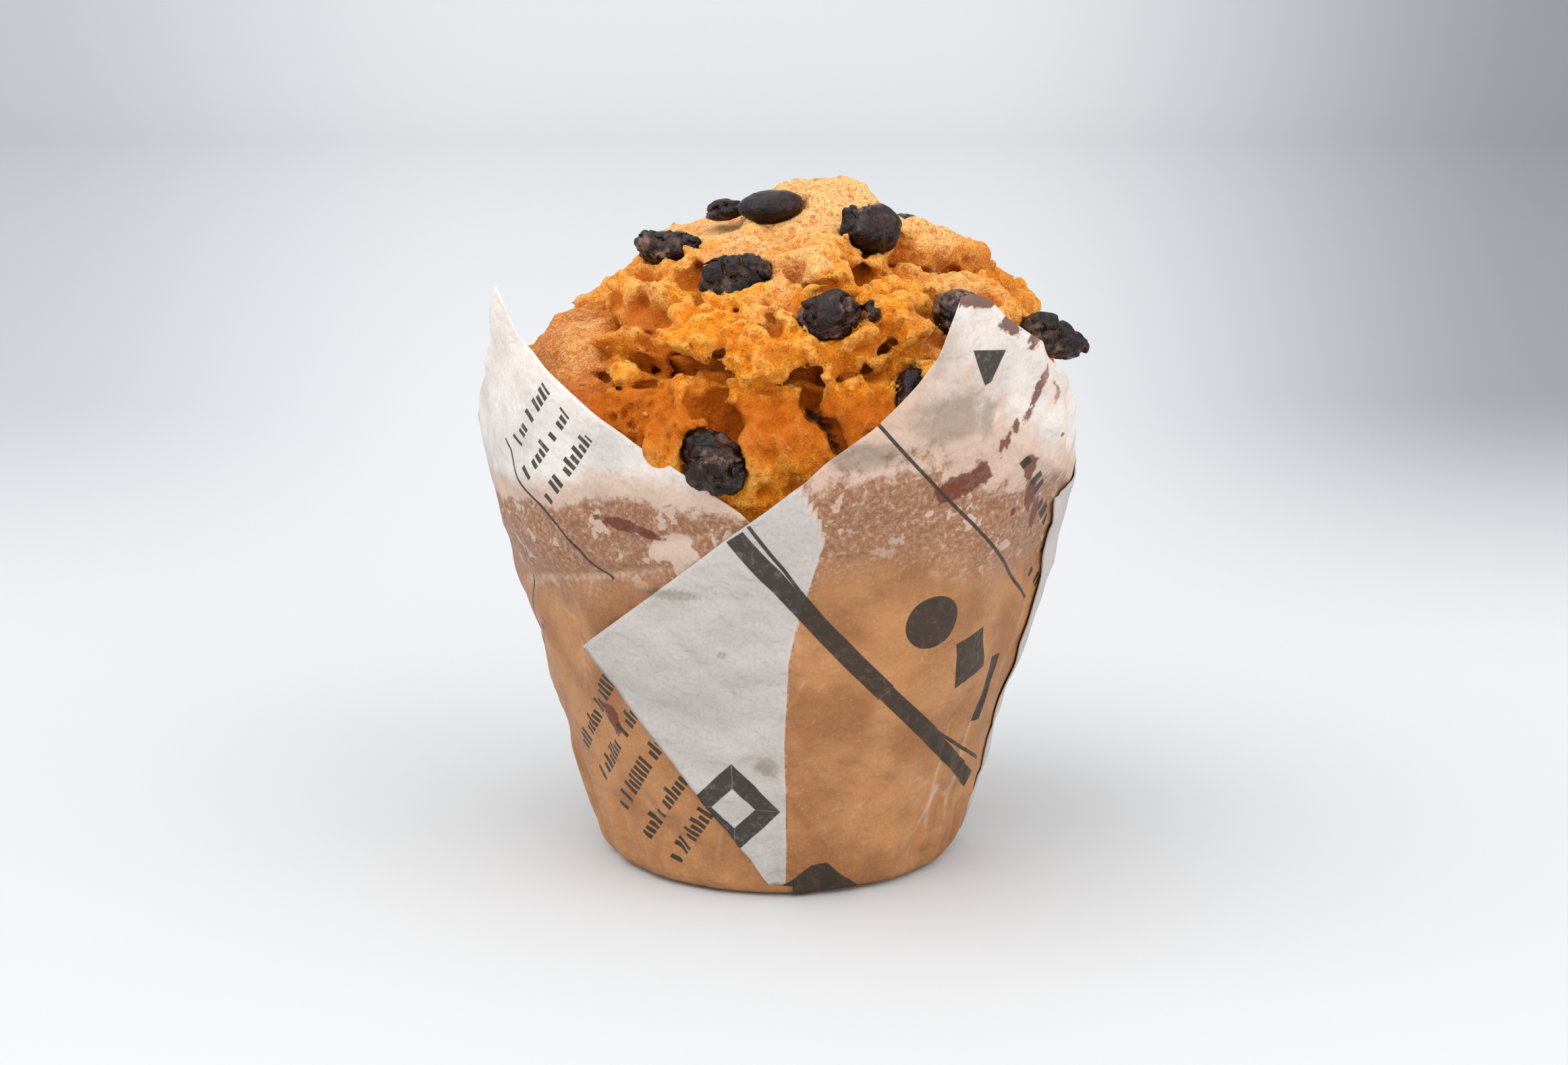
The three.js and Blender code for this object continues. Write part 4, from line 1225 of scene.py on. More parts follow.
class Desk:
    """Adds nodes to a tree and links them: an input may be a value or another node's output."""

    def __init__(self, tree):
        self.tree = tree

    def node(self, kind, output=0, settings=None, **inputs):
        made = self.tree.nodes.new(kind)
        for name, value in (settings or {}).items():
            setattr(made, name, value)
        for name, value in inputs.items():
            self.give(made, name.replace("_", " "), value)
        return made.outputs[output]

    def give(self, node, name, value):
        socket = node.inputs[int(name) if name.isdigit() else name]
        if isinstance(value, bpy.types.NodeSocket):
            self.tree.links.new(value, socket)
        else:
            socket.default_value = value

    def math(self, operation, *values, clamp=False):
        made = self.tree.nodes.new("ShaderNodeMath")
        made.operation, made.use_clamp = operation, clamp
        for place, value in enumerate(values):
            self.give(made, str(place), value)
        return made.outputs[0]

    def vector(self, operation, *values):
        made = self.tree.nodes.new("ShaderNodeVectorMath")
        made.operation = operation
        for place, value in enumerate(values):
            self.give(made, str(place), value)
        return made.outputs["Value" if operation in ("DOT_PRODUCT", "LENGTH") else "Vector"]

    def ramp(self, value, low, high, to_low=0.0, to_high=1.0):
        made = self.tree.nodes.new("ShaderNodeMapRange")
        made.interpolation_type = "SMOOTHSTEP"
        names = ("Value", "From Min", "From Max", "To Min", "To Max")
        for name, number in zip(names, (value, low, high, to_low, to_high)):
            self.give(made, name, number)
        return made.outputs[0]

    def mix(self, factor, first, second):
        made = self.tree.nodes.new("ShaderNodeMix")
        made.data_type = "RGBA"
        self.give(made, "0", factor)
        self.give(made, "6", first)
        self.give(made, "7", second)
        return made.outputs[2]

    def tint(self, colour, mask, strength, towards):
        """Moves a colour towards another one where a mask is white."""
        return self.mix(self.math("MULTIPLY", mask, strength), colour, towards)

    def bump(self, height, depth, strength, under=None):
        """Relief of a depth in millimetres, on its own or on top of another bump."""
        inputs = {"Height": height, "Distance": depth * MILLIMETRE, "Strength": strength}
        if under is not None:
            inputs["Normal"] = under
        return self.node("ShaderNodeBump", **inputs)

    def noise(self, vector, scale, detail=3.0, roughness=0.55):
        return self.node("ShaderNodeTexNoise", Vector=vector, Scale=scale, Detail=detail, Roughness=roughness)

    def furrows(self, vector, scale, detail, roughness):
        """Noise folded at its middle: 0 along thin winding lines."""
        return self.math("ABSOLUTE", self.math("SUBTRACT", self.noise(vector, scale, detail, roughness), 0.5))

    def attribute(self, name, output="Fac"):
        made = self.tree.nodes.new("ShaderNodeAttribute")
        made.attribute_name = name
        return made.outputs[output]

    def group(self, tree, output=0, **inputs):
        made = self.tree.nodes.new("ShaderNodeGroup")
        made.node_tree = tree
        for name, value in inputs.items():
            self.give(made, name.replace("_", " "), value)
        return made.outputs[output]

# %% New groups and new materials


def new_group(name, inputs, outputs):
    """An empty node group with its named sockets, and the desk to build it on."""
    tree = bpy.data.node_groups.new(name, "ShaderNodeTree")
    for socket_name, kind, default in inputs:
        socket = tree.interface.new_socket(socket_name, in_out="INPUT", socket_type=kind)
        if default is not None:
            socket.default_value = default
    for socket_name, kind in outputs:
        tree.interface.new_socket(socket_name, in_out="OUTPUT", socket_type=kind)
    source, sink = tree.nodes.new("NodeGroupInput"), tree.nodes.new("NodeGroupOutput")
    return tree, Desk(tree), source.outputs, sink.inputs


def new_material(name):
    """A material with a bare Principled shader, its desk and that shader."""
    material = bpy.data.materials.new(name)
    material.use_nodes = True
    return material, Desk(material.node_tree), material.node_tree.nodes["Principled BSDF"]


# %% [markdown]
# Crumb sparkles: every half millimetre there is a grain with a bright tip and a dark pore beside it. The
# group mixes three sizes of noise into one height, and the material also uses that height to paint shade into
# the pores.

# %% The grain group
FLOAT, VECTOR = "NodeSocketFloat", "NodeSocketVector"
grain_tree, desk, given, taken = new_group(
    "Grain", [("Vector", VECTOR, None), ("Size", FLOAT, 0.5), ("Pores", FLOAT, 0.5)], [("Height", FLOAT)]
)
per_metre = desk.math("DIVIDE", 1 / MILLIMETRE, given["Size"])
coarse = desk.noise(given["Vector"], per_metre, 3.0, 0.7)
half_size = desk.math("MULTIPLY", per_metre, 0.45)
cells = desk.node("ShaderNodeTexVoronoi", "Distance", Vector=given["Vector"], Scale=half_size)
pores = desk.math("MULTIPLY", desk.ramp(cells, 0.05, 0.5), given["Pores"])
desk.tree.links.new(desk.math("ADD", coarse, pores), taken["Height"])
print("grain group:", len(grain_tree.nodes), "nodes")

# %% [markdown]
# The crumb is crust where it met the oven and open crumb where it tore. Over that come, each by its own mask,
# browned patches, paler high places as painted light, bright raised places as painted highlights, and deep
# orange hollows and recesses as painted shade and glow. The finest noise is the sugary grain, with dark pits
# as painted shade and bright glints as painted highlights. Light that sinks in and comes out again
# (subsurface scattering) softens it all.

# %% The crumb's colours, as seen on a screen
CRUST, CRUST_PATCH = linear(252, 184, 106), linear(240, 154, 70)
OPEN_CRUMB, OPEN_PATCH = linear(248, 158, 38), linear(238, 134, 14)
BROWNED, PAINTED_LIGHT_CRUST = linear(192, 101, 30), linear(255, 206, 138)
TIP_HIGHLIGHT, BROWNED_TIP_HIGHLIGHT = linear(255, 196, 106), linear(222, 134, 50)
RECESS_SHADE, HOLLOW_SHADE_AND_GLOW = linear(222, 120, 18), linear(196, 94, 10)
PORE_SHADE, MELTED_CHOCOLATE = linear(186, 88, 16), linear(48, 22, 16)
CRUST_PIT_SHADE, OPEN_PIT_SHADE = linear(196, 112, 48), linear(206, 108, 12)
CRUST_GLINT, OPEN_GLINT = linear(255, 232, 186), linear(255, 196, 80)

# %% The crumb's material
crumb_material, desk, shader = new_material("baked_crumb")
place = desk.node("ShaderNodeTexCoord", "Object")
torn, hollow, brown, chocolate, ridge, pale = [desk.attribute(name) for name in CRUMB_MASKS]
grain = desk.group(grain_tree, Vector=place, Size=0.7, Pores=0.6)
fine = desk.group(grain_tree, Vector=place, Size=0.34, Pores=0.35)
patch = desk.noise(place, 160.0, 4.0, 0.6)
spotty = desk.noise(place, 420.0, 4.0, 0.65)
sugar = desk.noise(place, 3000.0, 3.0, 0.7)
level = desk.node("ShaderNodeSeparateXYZ", 2, Vector=place)

crust = desk.mix(desk.ramp(patch, 0.35, 0.7), CRUST, CRUST_PATCH)
open_crumb = desk.mix(desk.ramp(patch, 0.4, 0.65), OPEN_CRUMB, OPEN_PATCH)
colour = desk.mix(desk.ramp(torn, 0.3, 0.95), crust, open_crumb)
browning = desk.math("MULTIPLY", brown, desk.ramp(spotty, 0.3, 0.62, 0.35, 1.0), clamp=True)
colour = desk.mix(browning, colour, BROWNED)
# Painted light: the top and the pale places are painted paler, as if lit.
painted_light_top = desk.ramp(level, 84 * MILLIMETRE, 97 * MILLIMETRE, 0.0, 0.7)
painted_light = desk.math("MAXIMUM", painted_light_top, desk.math("MULTIPLY", pale, 0.8))
colour = desk.mix(painted_light, colour, PAINTED_LIGHT_CRUST)
# Painted highlights on raised places; on browned crust they take a browner colour.
tip_highlights = desk.mix(desk.ramp(brown, 0.2, 0.8), TIP_HIGHLIGHT, BROWNED_TIP_HIGHLIGHT)
raised = desk.math("MULTIPLY_ADD", desk.math("SUBTRACT", spotty, 0.5), 0.3, ridge)
colour = desk.tint(colour, desk.ramp(raised, 0.04, 0.26), 0.5, tip_highlights)
# Painted shade in recesses and deep in hollows, which also stands for light that has passed through crumb.
colour = desk.tint(colour, desk.ramp(ridge, 0.0, -0.24), 0.6, RECESS_SHADE)
colour = desk.mix(desk.ramp(hollow, 0.05, 0.7, 0.0, 0.85), colour, HOLLOW_SHADE_AND_GLOW)
# Painted shade in the grain's pores and the sugar's pits, and painted highlights on its glints.
grain_for_pore_shade = desk.ramp(grain, 0.55, 1.15)
colour = desk.tint(colour, desk.ramp(grain_for_pore_shade, 0.9, 0.25), 0.45, PORE_SHADE)
pit_shade = desk.mix(desk.ramp(torn, 0.2, 0.9), CRUST_PIT_SHADE, OPEN_PIT_SHADE)
colour = desk.tint(colour, desk.ramp(sugar, 0.53, 0.38), 0.62, pit_shade)
glints = desk.mix(desk.ramp(torn, 0.3, 0.9), CRUST_GLINT, OPEN_GLINT)
glinting = desk.math("MULTIPLY", desk.ramp(sugar, 0.5, 0.66), desk.ramp(hollow, 0.0, 0.6, 0.5, 0.12))
colour = desk.mix(glinting, colour, glints)
dark = desk.math("MULTIPLY", chocolate, desk.ramp(desk.noise(place, 600.0), 0.25, 0.6), clamp=True)
colour = desk.mix(dark, colour, MELTED_CHOCOLATE)

desk.give(shader, "Base Color", colour)
desk.give(shader, "Roughness", desk.ramp(dark, 0.0, 1.0, 0.62, 0.35))
desk.give(shader, "Subsurface Weight", 0.32)
shader.subsurface_method = "RANDOM_WALK"
desk.give(shader, "Subsurface Radius", (1.0, 0.4, 0.1))
desk.give(shader, "Subsurface Scale", 1.4 * MILLIMETRE)
desk.give(shader, "Specular IOR Level", 0.12)
relief = desk.bump(fine, 0.26, 1.0, desk.bump(grain, 0.5, 1.0))
desk.give(shader, "Normal", desk.bump(sugar, 0.36, 1.0, relief))
print("crumb material:", len(desk.tree.nodes), "nodes")

# %% [markdown]
# Baked chocolate is nearly black with a violet cast. Its skin is satin, and sugar and fat bloom dust
# the folds with a pale grey brown.

# %% The chocolate's material
chocolate_material, desk, shader = new_material("baked_chocolate")
place = desk.node("ShaderNodeTexCoord", "Object")
dust = desk.attribute("dust")
streaks = desk.noise(place, 900.0, 5.0, 0.7)
bloom = desk.math("MULTIPLY", dust, desk.ramp(streaks, 0.42, 0.62), clamp=True)
cocoa = desk.mix(desk.ramp(desk.noise(place, 300.0), 0.35, 0.65), linear(14, 5, 5), linear(34, 13, 11))
desk.give(shader, "Base Color", desk.tint(cocoa, bloom, 0.62, linear(150, 116, 98)))
desk.give(shader, "Roughness", desk.ramp(bloom, 0.0, 0.6, 0.25, 0.7))
desk.give(shader, "Specular IOR Level", 0.25)
puckers = desk.ramp(desk.furrows(place, 700.0, 3.0, 0.6), 0.0, 0.1)
wrinkle = desk.math("ADD", puckers, desk.noise(place, 1400.0, 4.0, 0.6))
desk.give(shader, "Normal", desk.bump(wrinkle, 0.16, 0.4))

# %% [markdown]
# The paper carries a dark print that runs at 45 degrees to each petal, because it follows the edges
# of the square sheet. It is built from four kinds of mark: a straight bar, a disc, a field with four
# sides, and rows of small upright dashes. One group draws each kind and passes the sheet on, so that
# the marks form one chain.

# %% The print groups
BEYOND_PRINT = 9000.0
PRINT_EDGE = 0.07


def new_mark(name, *inputs):
    """A print group: the sheet comes in and goes out again, with the mark's own inputs beside it."""
    return new_group(name, [("Sheet", VECTOR, None), *inputs], [("Sheet", VECTOR)])


def pass_on(desk, given, taken, ink):
    """Lets the sheet through. Its third number keeps the strongest ink so far."""
    marked = desk.node("ShaderNodeCombineXYZ", X=-BEYOND_PRINT, Y=-BEYOND_PRINT, Z=ink)
    desk.tree.links.new(desk.vector("MAXIMUM", given["Sheet"], marked), taken["Sheet"])


bar_tree, desk, given, taken = new_mark(
    "Printed bar", ("Middle", VECTOR, None), ("Along", VECTOR, None), ("Side", VECTOR, None),
    ("Length", FLOAT, 10.0), ("Width", FLOAT, 1.0),
)
offset = desk.vector("SUBTRACT", given["Sheet"], given["Middle"])
along = desk.math("ABSOLUTE", desk.vector("DOT_PRODUCT", offset, given["Along"]))
across = desk.math("ABSOLUTE", desk.vector("DOT_PRODUCT", offset, given["Side"]))
past = desk.math("MULTIPLY_ADD", given["Length"], -0.5, along)
beside = desk.math("MULTIPLY_ADD", given["Width"], -0.5, across)
pass_on(desk, given, taken, desk.ramp(desk.math("MAXIMUM", past, beside), PRINT_EDGE, -PRINT_EDGE))

disc_tree, desk, given, taken = new_mark("Printed disc", ("Middle", VECTOR, None), ("Radius", FLOAT, 4.0))
offset = desk.vector("SUBTRACT", given["Sheet"], given["Middle"])
from_middle = desk.vector("LENGTH", desk.vector("MULTIPLY", offset, (1.0, 1.0, 0.0)))
outside = desk.math("SUBTRACT", from_middle, given["Radius"])
pass_on(desk, given, taken, desk.ramp(outside, PRINT_EDGE, -PRINT_EDGE))

EDGES = ("Edge 1", "Edge 2", "Edge 3", "Edge 4")
field_tree, desk, given, taken = new_mark("Printed field", *[(edge, VECTOR, None) for edge in EDGES])
flat = desk.vector("MULTIPLY_ADD", given["Sheet"], (1.0, 1.0, 0.0), (0.0, 0.0, 1.0))
sides = [desk.vector("DOT_PRODUCT", flat, given[edge]) for edge in EDGES]
first_pair = desk.math("MINIMUM", sides[0], sides[1])
second_pair = desk.math("MINIMUM", sides[2], sides[3])
pass_on(desk, given, taken, desk.ramp(desk.math("MINIMUM", first_pair, second_pair), -PRINT_EDGE, PRINT_EDGE))

# %% [markdown]
# The rows stand for small print. Each row is cut into equal steps, and a random number for each step
# leaves it out, makes it low or makes it tall.

# %% The group for rows of dashes
rows_tree, desk, given, taken = new_mark(
    "Printed rows", ("Start", VECTOR, None), ("Along", VECTOR, None), ("Side", VECTOR, None),
    ("Length", FLOAT, 20.0), ("Rows", FLOAT, 3.0), ("Pitch", FLOAT, 6.0), ("Blocks", FLOAT, 0.62),
)
offset = desk.vector("SUBTRACT", given["Sheet"], given["Start"])
along = desk.vector("DOT_PRODUCT", offset, given["Along"])
across = desk.math("DIVIDE", desk.vector("DOT_PRODUCT", offset, given["Side"]), given["Pitch"])
row = desk.math("FLOOR", across)
in_row = desk.math("SUBTRACT", across, row)
counted = desk.math("MULTIPLY", desk.math("MULTIPLY_ADD", row, 37.7, along), given["Blocks"])
block = desk.math("FLOOR", counted)
from_centre = desk.math("ABSOLUTE", desk.math("SUBTRACT", desk.math("FRACT", counted), 0.5))
chance = desk.node("ShaderNodeTexWhiteNoise", 0, settings={"noise_dimensions": "1D"}, W=block)
top = desk.ramp(chance, 0.55, 0.65, 0.46, 0.62)
ink = desk.ramp(from_centre, 0.36, 0.30)
for test, value, limit in (
    ("GREATER_THAN", in_row, 0.16), ("LESS_THAN", in_row, top), ("GREATER_THAN", chance, 0.16),
    ("GREATER_THAN", along, 0.0), ("LESS_THAN", along, given["Length"]),
    ("GREATER_THAN", across, 0.0), ("LESS_THAN", across, given["Rows"]),
):
    ink = desk.math("MULTIPLY", ink, desk.math(test, value, limit))
pass_on(desk, given, taken, ink)
print("print groups:", len(bar_tree.nodes), "and", len(rows_tree.nodes), "nodes")

# %% [markdown]
# Each mark is given on the standing paper: the number of its petal, then azimuths in degrees and
# heights in millimetres, which are turned into places on the flat sheet. A bar has two ends and a
# width. A block of rows has its lower left corner, the direction and length of its rows, their
# number and pitch, and how many dashes there are in a millimetre.

# %% What is printed, petal by petal
BARS = [
    (0, (-8.2, 55.4), (24.5, 31.5), 2.8), (0, (24.5, 31.5), (70, 12.4), 2.5),
    (0, (-5.6, 57.0), (13.1, 39.6), 0.55), (0, (13.1, 39.6), (45, 22.9), 0.55),
    (0, (45, 22.9), (72, 15.5), 0.55), (0, (16.2, 70.5), (66, 41.0), 0.5),
    (0, (60.6, 33.0), (61.6, 22.6), 2.0), (3, (-60.2, 64.7), (-55.5, 60), 0.5),
    (3, (-55.5, 60), (-45.8, 54.4), 0.5), (3, (-45.8, 54.4), (-40.6, 49.7), 0.5),
    (3, (-40.6, 49.7), (-35.4, 47.2), 0.5), (1, (108, 44), (170, 8), 2.6), (1, (112, 49), (172, 14), 0.5),
    (1, (108, 70), (158, 36), 0.5), (2, (196, 26), (250, 58), 2.6), (2, (200, 18), (256, 52), 0.5),
    (2, (214, 60), (232, 70), 0.5), (3, (-88, 26), (-66, 44), 0.5),
]
DISC_RADIUS = 4.0
DISCS = [(0, (33.0, 41.4)), (1, (128, 12)), (2, (210, 46))]
FIELDS = [
    (0, [(-3.4, 0.9), (9.0, 5.4), (14.0, 5.4), (26.0, 0.8)]),
    (0, [(41.5, 37.2), (50.5, 38.6), (54.5, 32.4), (44.5, 30.2)]),
    (0, [(31.8, 79.6), (38.6, 79.2), (36.6, 75.0), (35.4, 74.6)]),
    (1, [(106, 30), (115, 35), (119, 26), (110, 20)]), (2, [(226, 14), (240, 26), (250, 18), (236, 6)]),
    (1, [(130, 46), (140, 48), (142, 40), (134, 37)]), (3, [(-112, 16), (-102, 24), (-96, 16), (-108, 9)]),
]
FRAME_CORNERS = [(-25.0, 14.8), (-12.0, 21.6), (0.0, 14.0), (-13.0, 7.4)]
FRAME_HOLE = 0.46
frame_middle = np.mean(FRAME_CORNERS, axis=0)
hole = [tuple(frame_middle + FRAME_HOLE * (np.array(corner) - frame_middle)) for corner in FRAME_CORNERS]
for corner in range(4):
    after = (corner + 1) % 4
    FIELDS.append((0, [FRAME_CORNERS[corner], FRAME_CORNERS[after], hole[after], hole[corner]]))
ROW_BLOCKS = [
    (3, (-46.0, 56.4), 46, 13.5, 3, 4.7, 0.85), (3, (-31.5, 3.0), 46, 22, 5, 5.4, 0.9),
    (3, (-76, 31), 46, 9, 1, 2.6, 1.5), (0, (44.0, 63.2), -46, 19, 1, 4.6, 0.4),
    (0, (64, 44), -45, 14, 2, 4.0, 0.9), (1, (100, 60), -45, 26, 4, 6.0, 0.85),
    (1, (140, 50), -45, 22, 4, 6.0, 0.85), (2, (196, 62), 45, 20, 4, 6.0, 0.85),
    (2, (218, 34), 45, 30, 4, 5.6, 0.85),
]

# %% Lay the marks on the sheet


def sheet_vector(number, spot):
    """A place on the flat sheet, as the material's coordinates: each petal has its own stretch."""
    flat = flat_place(number, *spot)
    return np.array([flat[0] + PETAL_STRETCH * number, flat[1], 0.0])


def add_print(desk, sheet):
    """Passes the sheet through every printed shape. Its third number ends as the ink, 0 to 1."""
    for number, start, end, width in BARS:
        a, b = sheet_vector(number, start), sheet_vector(number, end)
        length = float(np.linalg.norm(b - a))
        run = (b - a) / length
        sheet = desk.group(bar_tree, Sheet=sheet, Middle=tuple((a + b) / 2), Along=tuple(run),
                           Side=(-run[1], run[0], 0.0), Length=length, Width=width)
    for number, middle in DISCS:
        place = tuple(sheet_vector(number, middle))
        sheet = desk.group(disc_tree, Sheet=sheet, Middle=place, Radius=DISC_RADIUS)
    for number, corners in FIELDS:
        spots = [sheet_vector(number, corner) for corner in corners]
        middle = sum(spots) / len(spots)
        edges = {}
        for side in range(4):
            first, second = spots[side], spots[(side + 1) % 4]
            run = (second - first) / np.linalg.norm(second - first)
            normal = np.array([-run[1], run[0], 0.0])
            normal *= np.sign((middle - first) @ normal)
            edges[f"Edge_{side + 1}"] = (normal[0], normal[1], float(-first @ normal))
        sheet = desk.group(field_tree, Sheet=sheet, **edges)
    for number, start, turn, length, rows, pitch, blocks in ROW_BLOCKS:
        angle = math.radians(turn)
        run = (math.cos(angle), math.sin(angle), 0.0)
        sheet = desk.group(rows_tree, Sheet=sheet, Start=tuple(sheet_vector(number, start)), Along=run,
                           Side=(-run[1], run[0], 0.0), Length=float(length), Rows=float(rows),
                           Pitch=float(pitch), Blocks=blocks)
    return desk.node("ShaderNodeSeparateXYZ", 2, Vector=sheet)


# %% [markdown]
# Where the paper soaked up fat it is brown and a little clear, and the edge of that zone is stippled with
# dots and white islands. White paper (painted greyer as shade where it lies in plies), soaked paper, fibres,
# smudges, stains, painted highlights along the creases and print are laid over each other in that order. A
# share of translucency lets light shine through.

# %% The paper's colours, as seen on a screen
WHITE, WHITE_BLOT = linear(246, 240, 234), linear(224, 217, 211)
FOLDED_SHADE, GREASY_WHITE = linear(208, 200, 194), linear(222, 190, 166)
SOAKED, SOAKED_BLOT = linear(208, 148, 94), linear(178, 118, 68)
SOAKED_EDGE, DARK_DOT, LIGHT_DOT = linear(186, 142, 114), linear(154, 100, 68), linear(232, 202, 180)
DARK_FIBRE, LIGHT_FIBRE = linear(120, 92, 70), linear(236, 222, 208)
SMUDGE, CREASE_HIGHLIGHT, INK = linear(128, 112, 92), linear(238, 208, 182), linear(58, 48, 40)
THIN_STAIN, THICK_STAIN = linear(180, 112, 60), linear(112, 42, 16)
SHINE_THROUGH = 0.3

# %% The paper's material
paper_material, desk, shader = new_material("greaseproof_paper")
place = desk.node("ShaderNodeTexCoord", "Object")
sheet = desk.attribute("sheet", "Vector")
contact, stain, smudge = [desk.attribute(name) for name in ("contact", "stain", "smudge")]
edge_noise = desk.noise(place, 260.0, 6.0, 0.72)
islands = desk.noise(place, 300.0, 3.0, 0.6)
blot = desk.noise(place, 110.0, 3.0, 0.5)
fibre = desk.noise(place, 2200.0, 3.0, 0.6)
dots = desk.noise(place, 1500.0, 2.0, 0.7)

uneven = desk.math("SUBTRACT", edge_noise, 0.5)
raggedness = desk.math("MULTIPLY_ADD", uneven, 0.34, contact)
greasy = desk.ramp(raggedness, 0.2, 0.42)
soaked = desk.ramp(raggedness, 0.47, 0.53)
boundary = desk.ramp(contact, 1.0, 0.7)
pale = desk.math("MULTIPLY", desk.ramp(islands, 0.6, 0.62), boundary)
pale = desk.math("MULTIPLY", pale, desk.ramp(contact, 0.95, 0.9))
dark_dots = desk.math("MULTIPLY", boundary, desk.ramp(dots, 0.42, 0.6))
light_dots = desk.math("MULTIPLY", boundary, desk.ramp(dots, 0.42, 0.3))

white = desk.mix(desk.ramp(blot, 0.35, 0.7), WHITE, WHITE_BLOT)
# Painted shade: paper that lies in several plies is painted greyer.
white = desk.tint(white, desk.attribute("folded"), 0.8, FOLDED_SHADE)
white = desk.tint(white, greasy, 0.85, GREASY_WHITE)
brown = desk.mix(desk.ramp(blot, 0.35, 0.68), SOAKED, SOAKED_BLOT)
brown = desk.tint(brown, boundary, 0.8, SOAKED_EDGE)
brown = desk.tint(brown, dark_dots, 0.75, DARK_DOT)
brown = desk.tint(brown, light_dots, 0.6, LIGHT_DOT)
cover = desk.math("MULTIPLY", soaked, desk.math("MULTIPLY_ADD", pale, -0.85, 1.0))
colour = desk.mix(cover, white, brown)
colour = desk.tint(colour, desk.ramp(fibre, 0.45, 0.8), 0.2, DARK_FIBRE)
colour = desk.tint(colour, desk.ramp(fibre, 0.45, 0.2), 0.25, LIGHT_FIBRE)

blotches = desk.ramp(desk.math("MULTIPLY_ADD", uneven, 1.6, smudge), 0.2, 0.8)
blotches = desk.math("MULTIPLY", blotches, desk.ramp(smudge, 0.0, 0.3))
colour = desk.tint(colour, blotches, 0.44, SMUDGE)
smear = desk.math("SUBTRACT", desk.noise(place, 620.0, 4.0, 0.7), 0.5)
smear = desk.ramp(desk.math("MULTIPLY_ADD", smear, 1.3, stain), 0.42, 0.62)
smear = desk.math("MULTIPLY", smear, desk.ramp(stain, 0.0, 0.15))
stain_colour = desk.mix(desk.ramp(smear, 0.3, 1.0), THIN_STAIN, THICK_STAIN)
colour = desk.tint(colour, smear, 0.85, stain_colour)
# Painted highlights along the crease lines.
lines = desk.ramp(desk.attribute("crease"), 0.1, 0.7)
crease_highlights = desk.math("MULTIPLY", lines, desk.ramp(edge_noise, 0.35, 0.6, 0.2, 0.6))
colour = desk.mix(crease_highlights, colour, CREASE_HIGHLIGHT)
worn_print = desk.ramp(desk.noise(place, 900.0, 4.0, 0.7), 0.3, 0.5, 0.82, 0.96)
colour = desk.mix(desk.math("MULTIPLY", add_print(desk, sheet), worn_print), colour, INK)

desk.give(shader, "Base Color", colour)
desk.give(shader, "Roughness", desk.ramp(soaked, 0.0, 1.0, 0.55, 0.4))
desk.give(shader, "Specular IOR Level", 0.45)
folds = desk.ramp(desk.furrows(sheet, 0.055, 2.0, 0.5), 0.0, 0.12)
wrinkles = desk.ramp(desk.furrows(sheet, 0.16, 3.0, 0.6), 0.0, 0.14)
crumple = desk.math("ADD", folds, desk.math("MULTIPLY", wrinkles, 0.5))
height = desk.math("ADD", desk.math("MULTIPLY", fibre, 0.35), desk.noise(place, 500.0, 3.0, 0.5))
relief = desk.bump(height, 0.08, 0.6, desk.bump(crumple, 0.4, 0.7))
desk.give(shader, "Normal", relief)
glow = desk.node("ShaderNodeBsdfTranslucent", Color=colour, Normal=relief)
blend = desk.tree.nodes.new("ShaderNodeMixShader")
desk.give(blend, "0", SHINE_THROUGH)
desk.tree.links.new(shader.outputs[0], blend.inputs[1])
desk.tree.links.new(glow, blend.inputs[2])
output = next(node for node in desk.tree.nodes if node.type == "OUTPUT_MATERIAL")
desk.tree.links.new(blend.outputs[0], output.inputs["Surface"])
print("paper material:", len(desk.tree.nodes), "nodes")

# %% [markdown]
# Crumbs break off when the muffin is handled and stay where they fall. Geometry Nodes scatter small
# rough grains over the crumb: points on its faces, a grain on each with its own turn and size.

# %% Loose crumbs by Geometry Nodes
CRUMB_COUNT_PER_SQUARE_METRE = 14000.0
CRUMB_GRAIN_RADIUS = 0.36
GRAIN_SCALES = (0.35, 1.25)
FULL_TURNS = (6.28, 6.28, 6.28)
LOWEST_CRUMB = 62.0
CRUMB_SEED = 5


def grain_source():
    """One rough grain, which is copied many times."""
    bpy.ops.mesh.primitive_ico_sphere_add(subdivisions=2, radius=CRUMB_GRAIN_RADIUS * MILLIMETRE)
    grain = bpy.context.object
    grain.name = "grain_source"
    points = positions(grain)
    shift = 1 + 0.35 * cloud(points * 3, 1.0, 61) + 0.2 * cloud(points * 3, 0.4, 62)
    co = (points * shift[:, None] * MILLIMETRE).astype(np.float32)
    grain.data.vertices.foreach_set("co", co.ravel())
    return grain

# %% The tree that scatters them


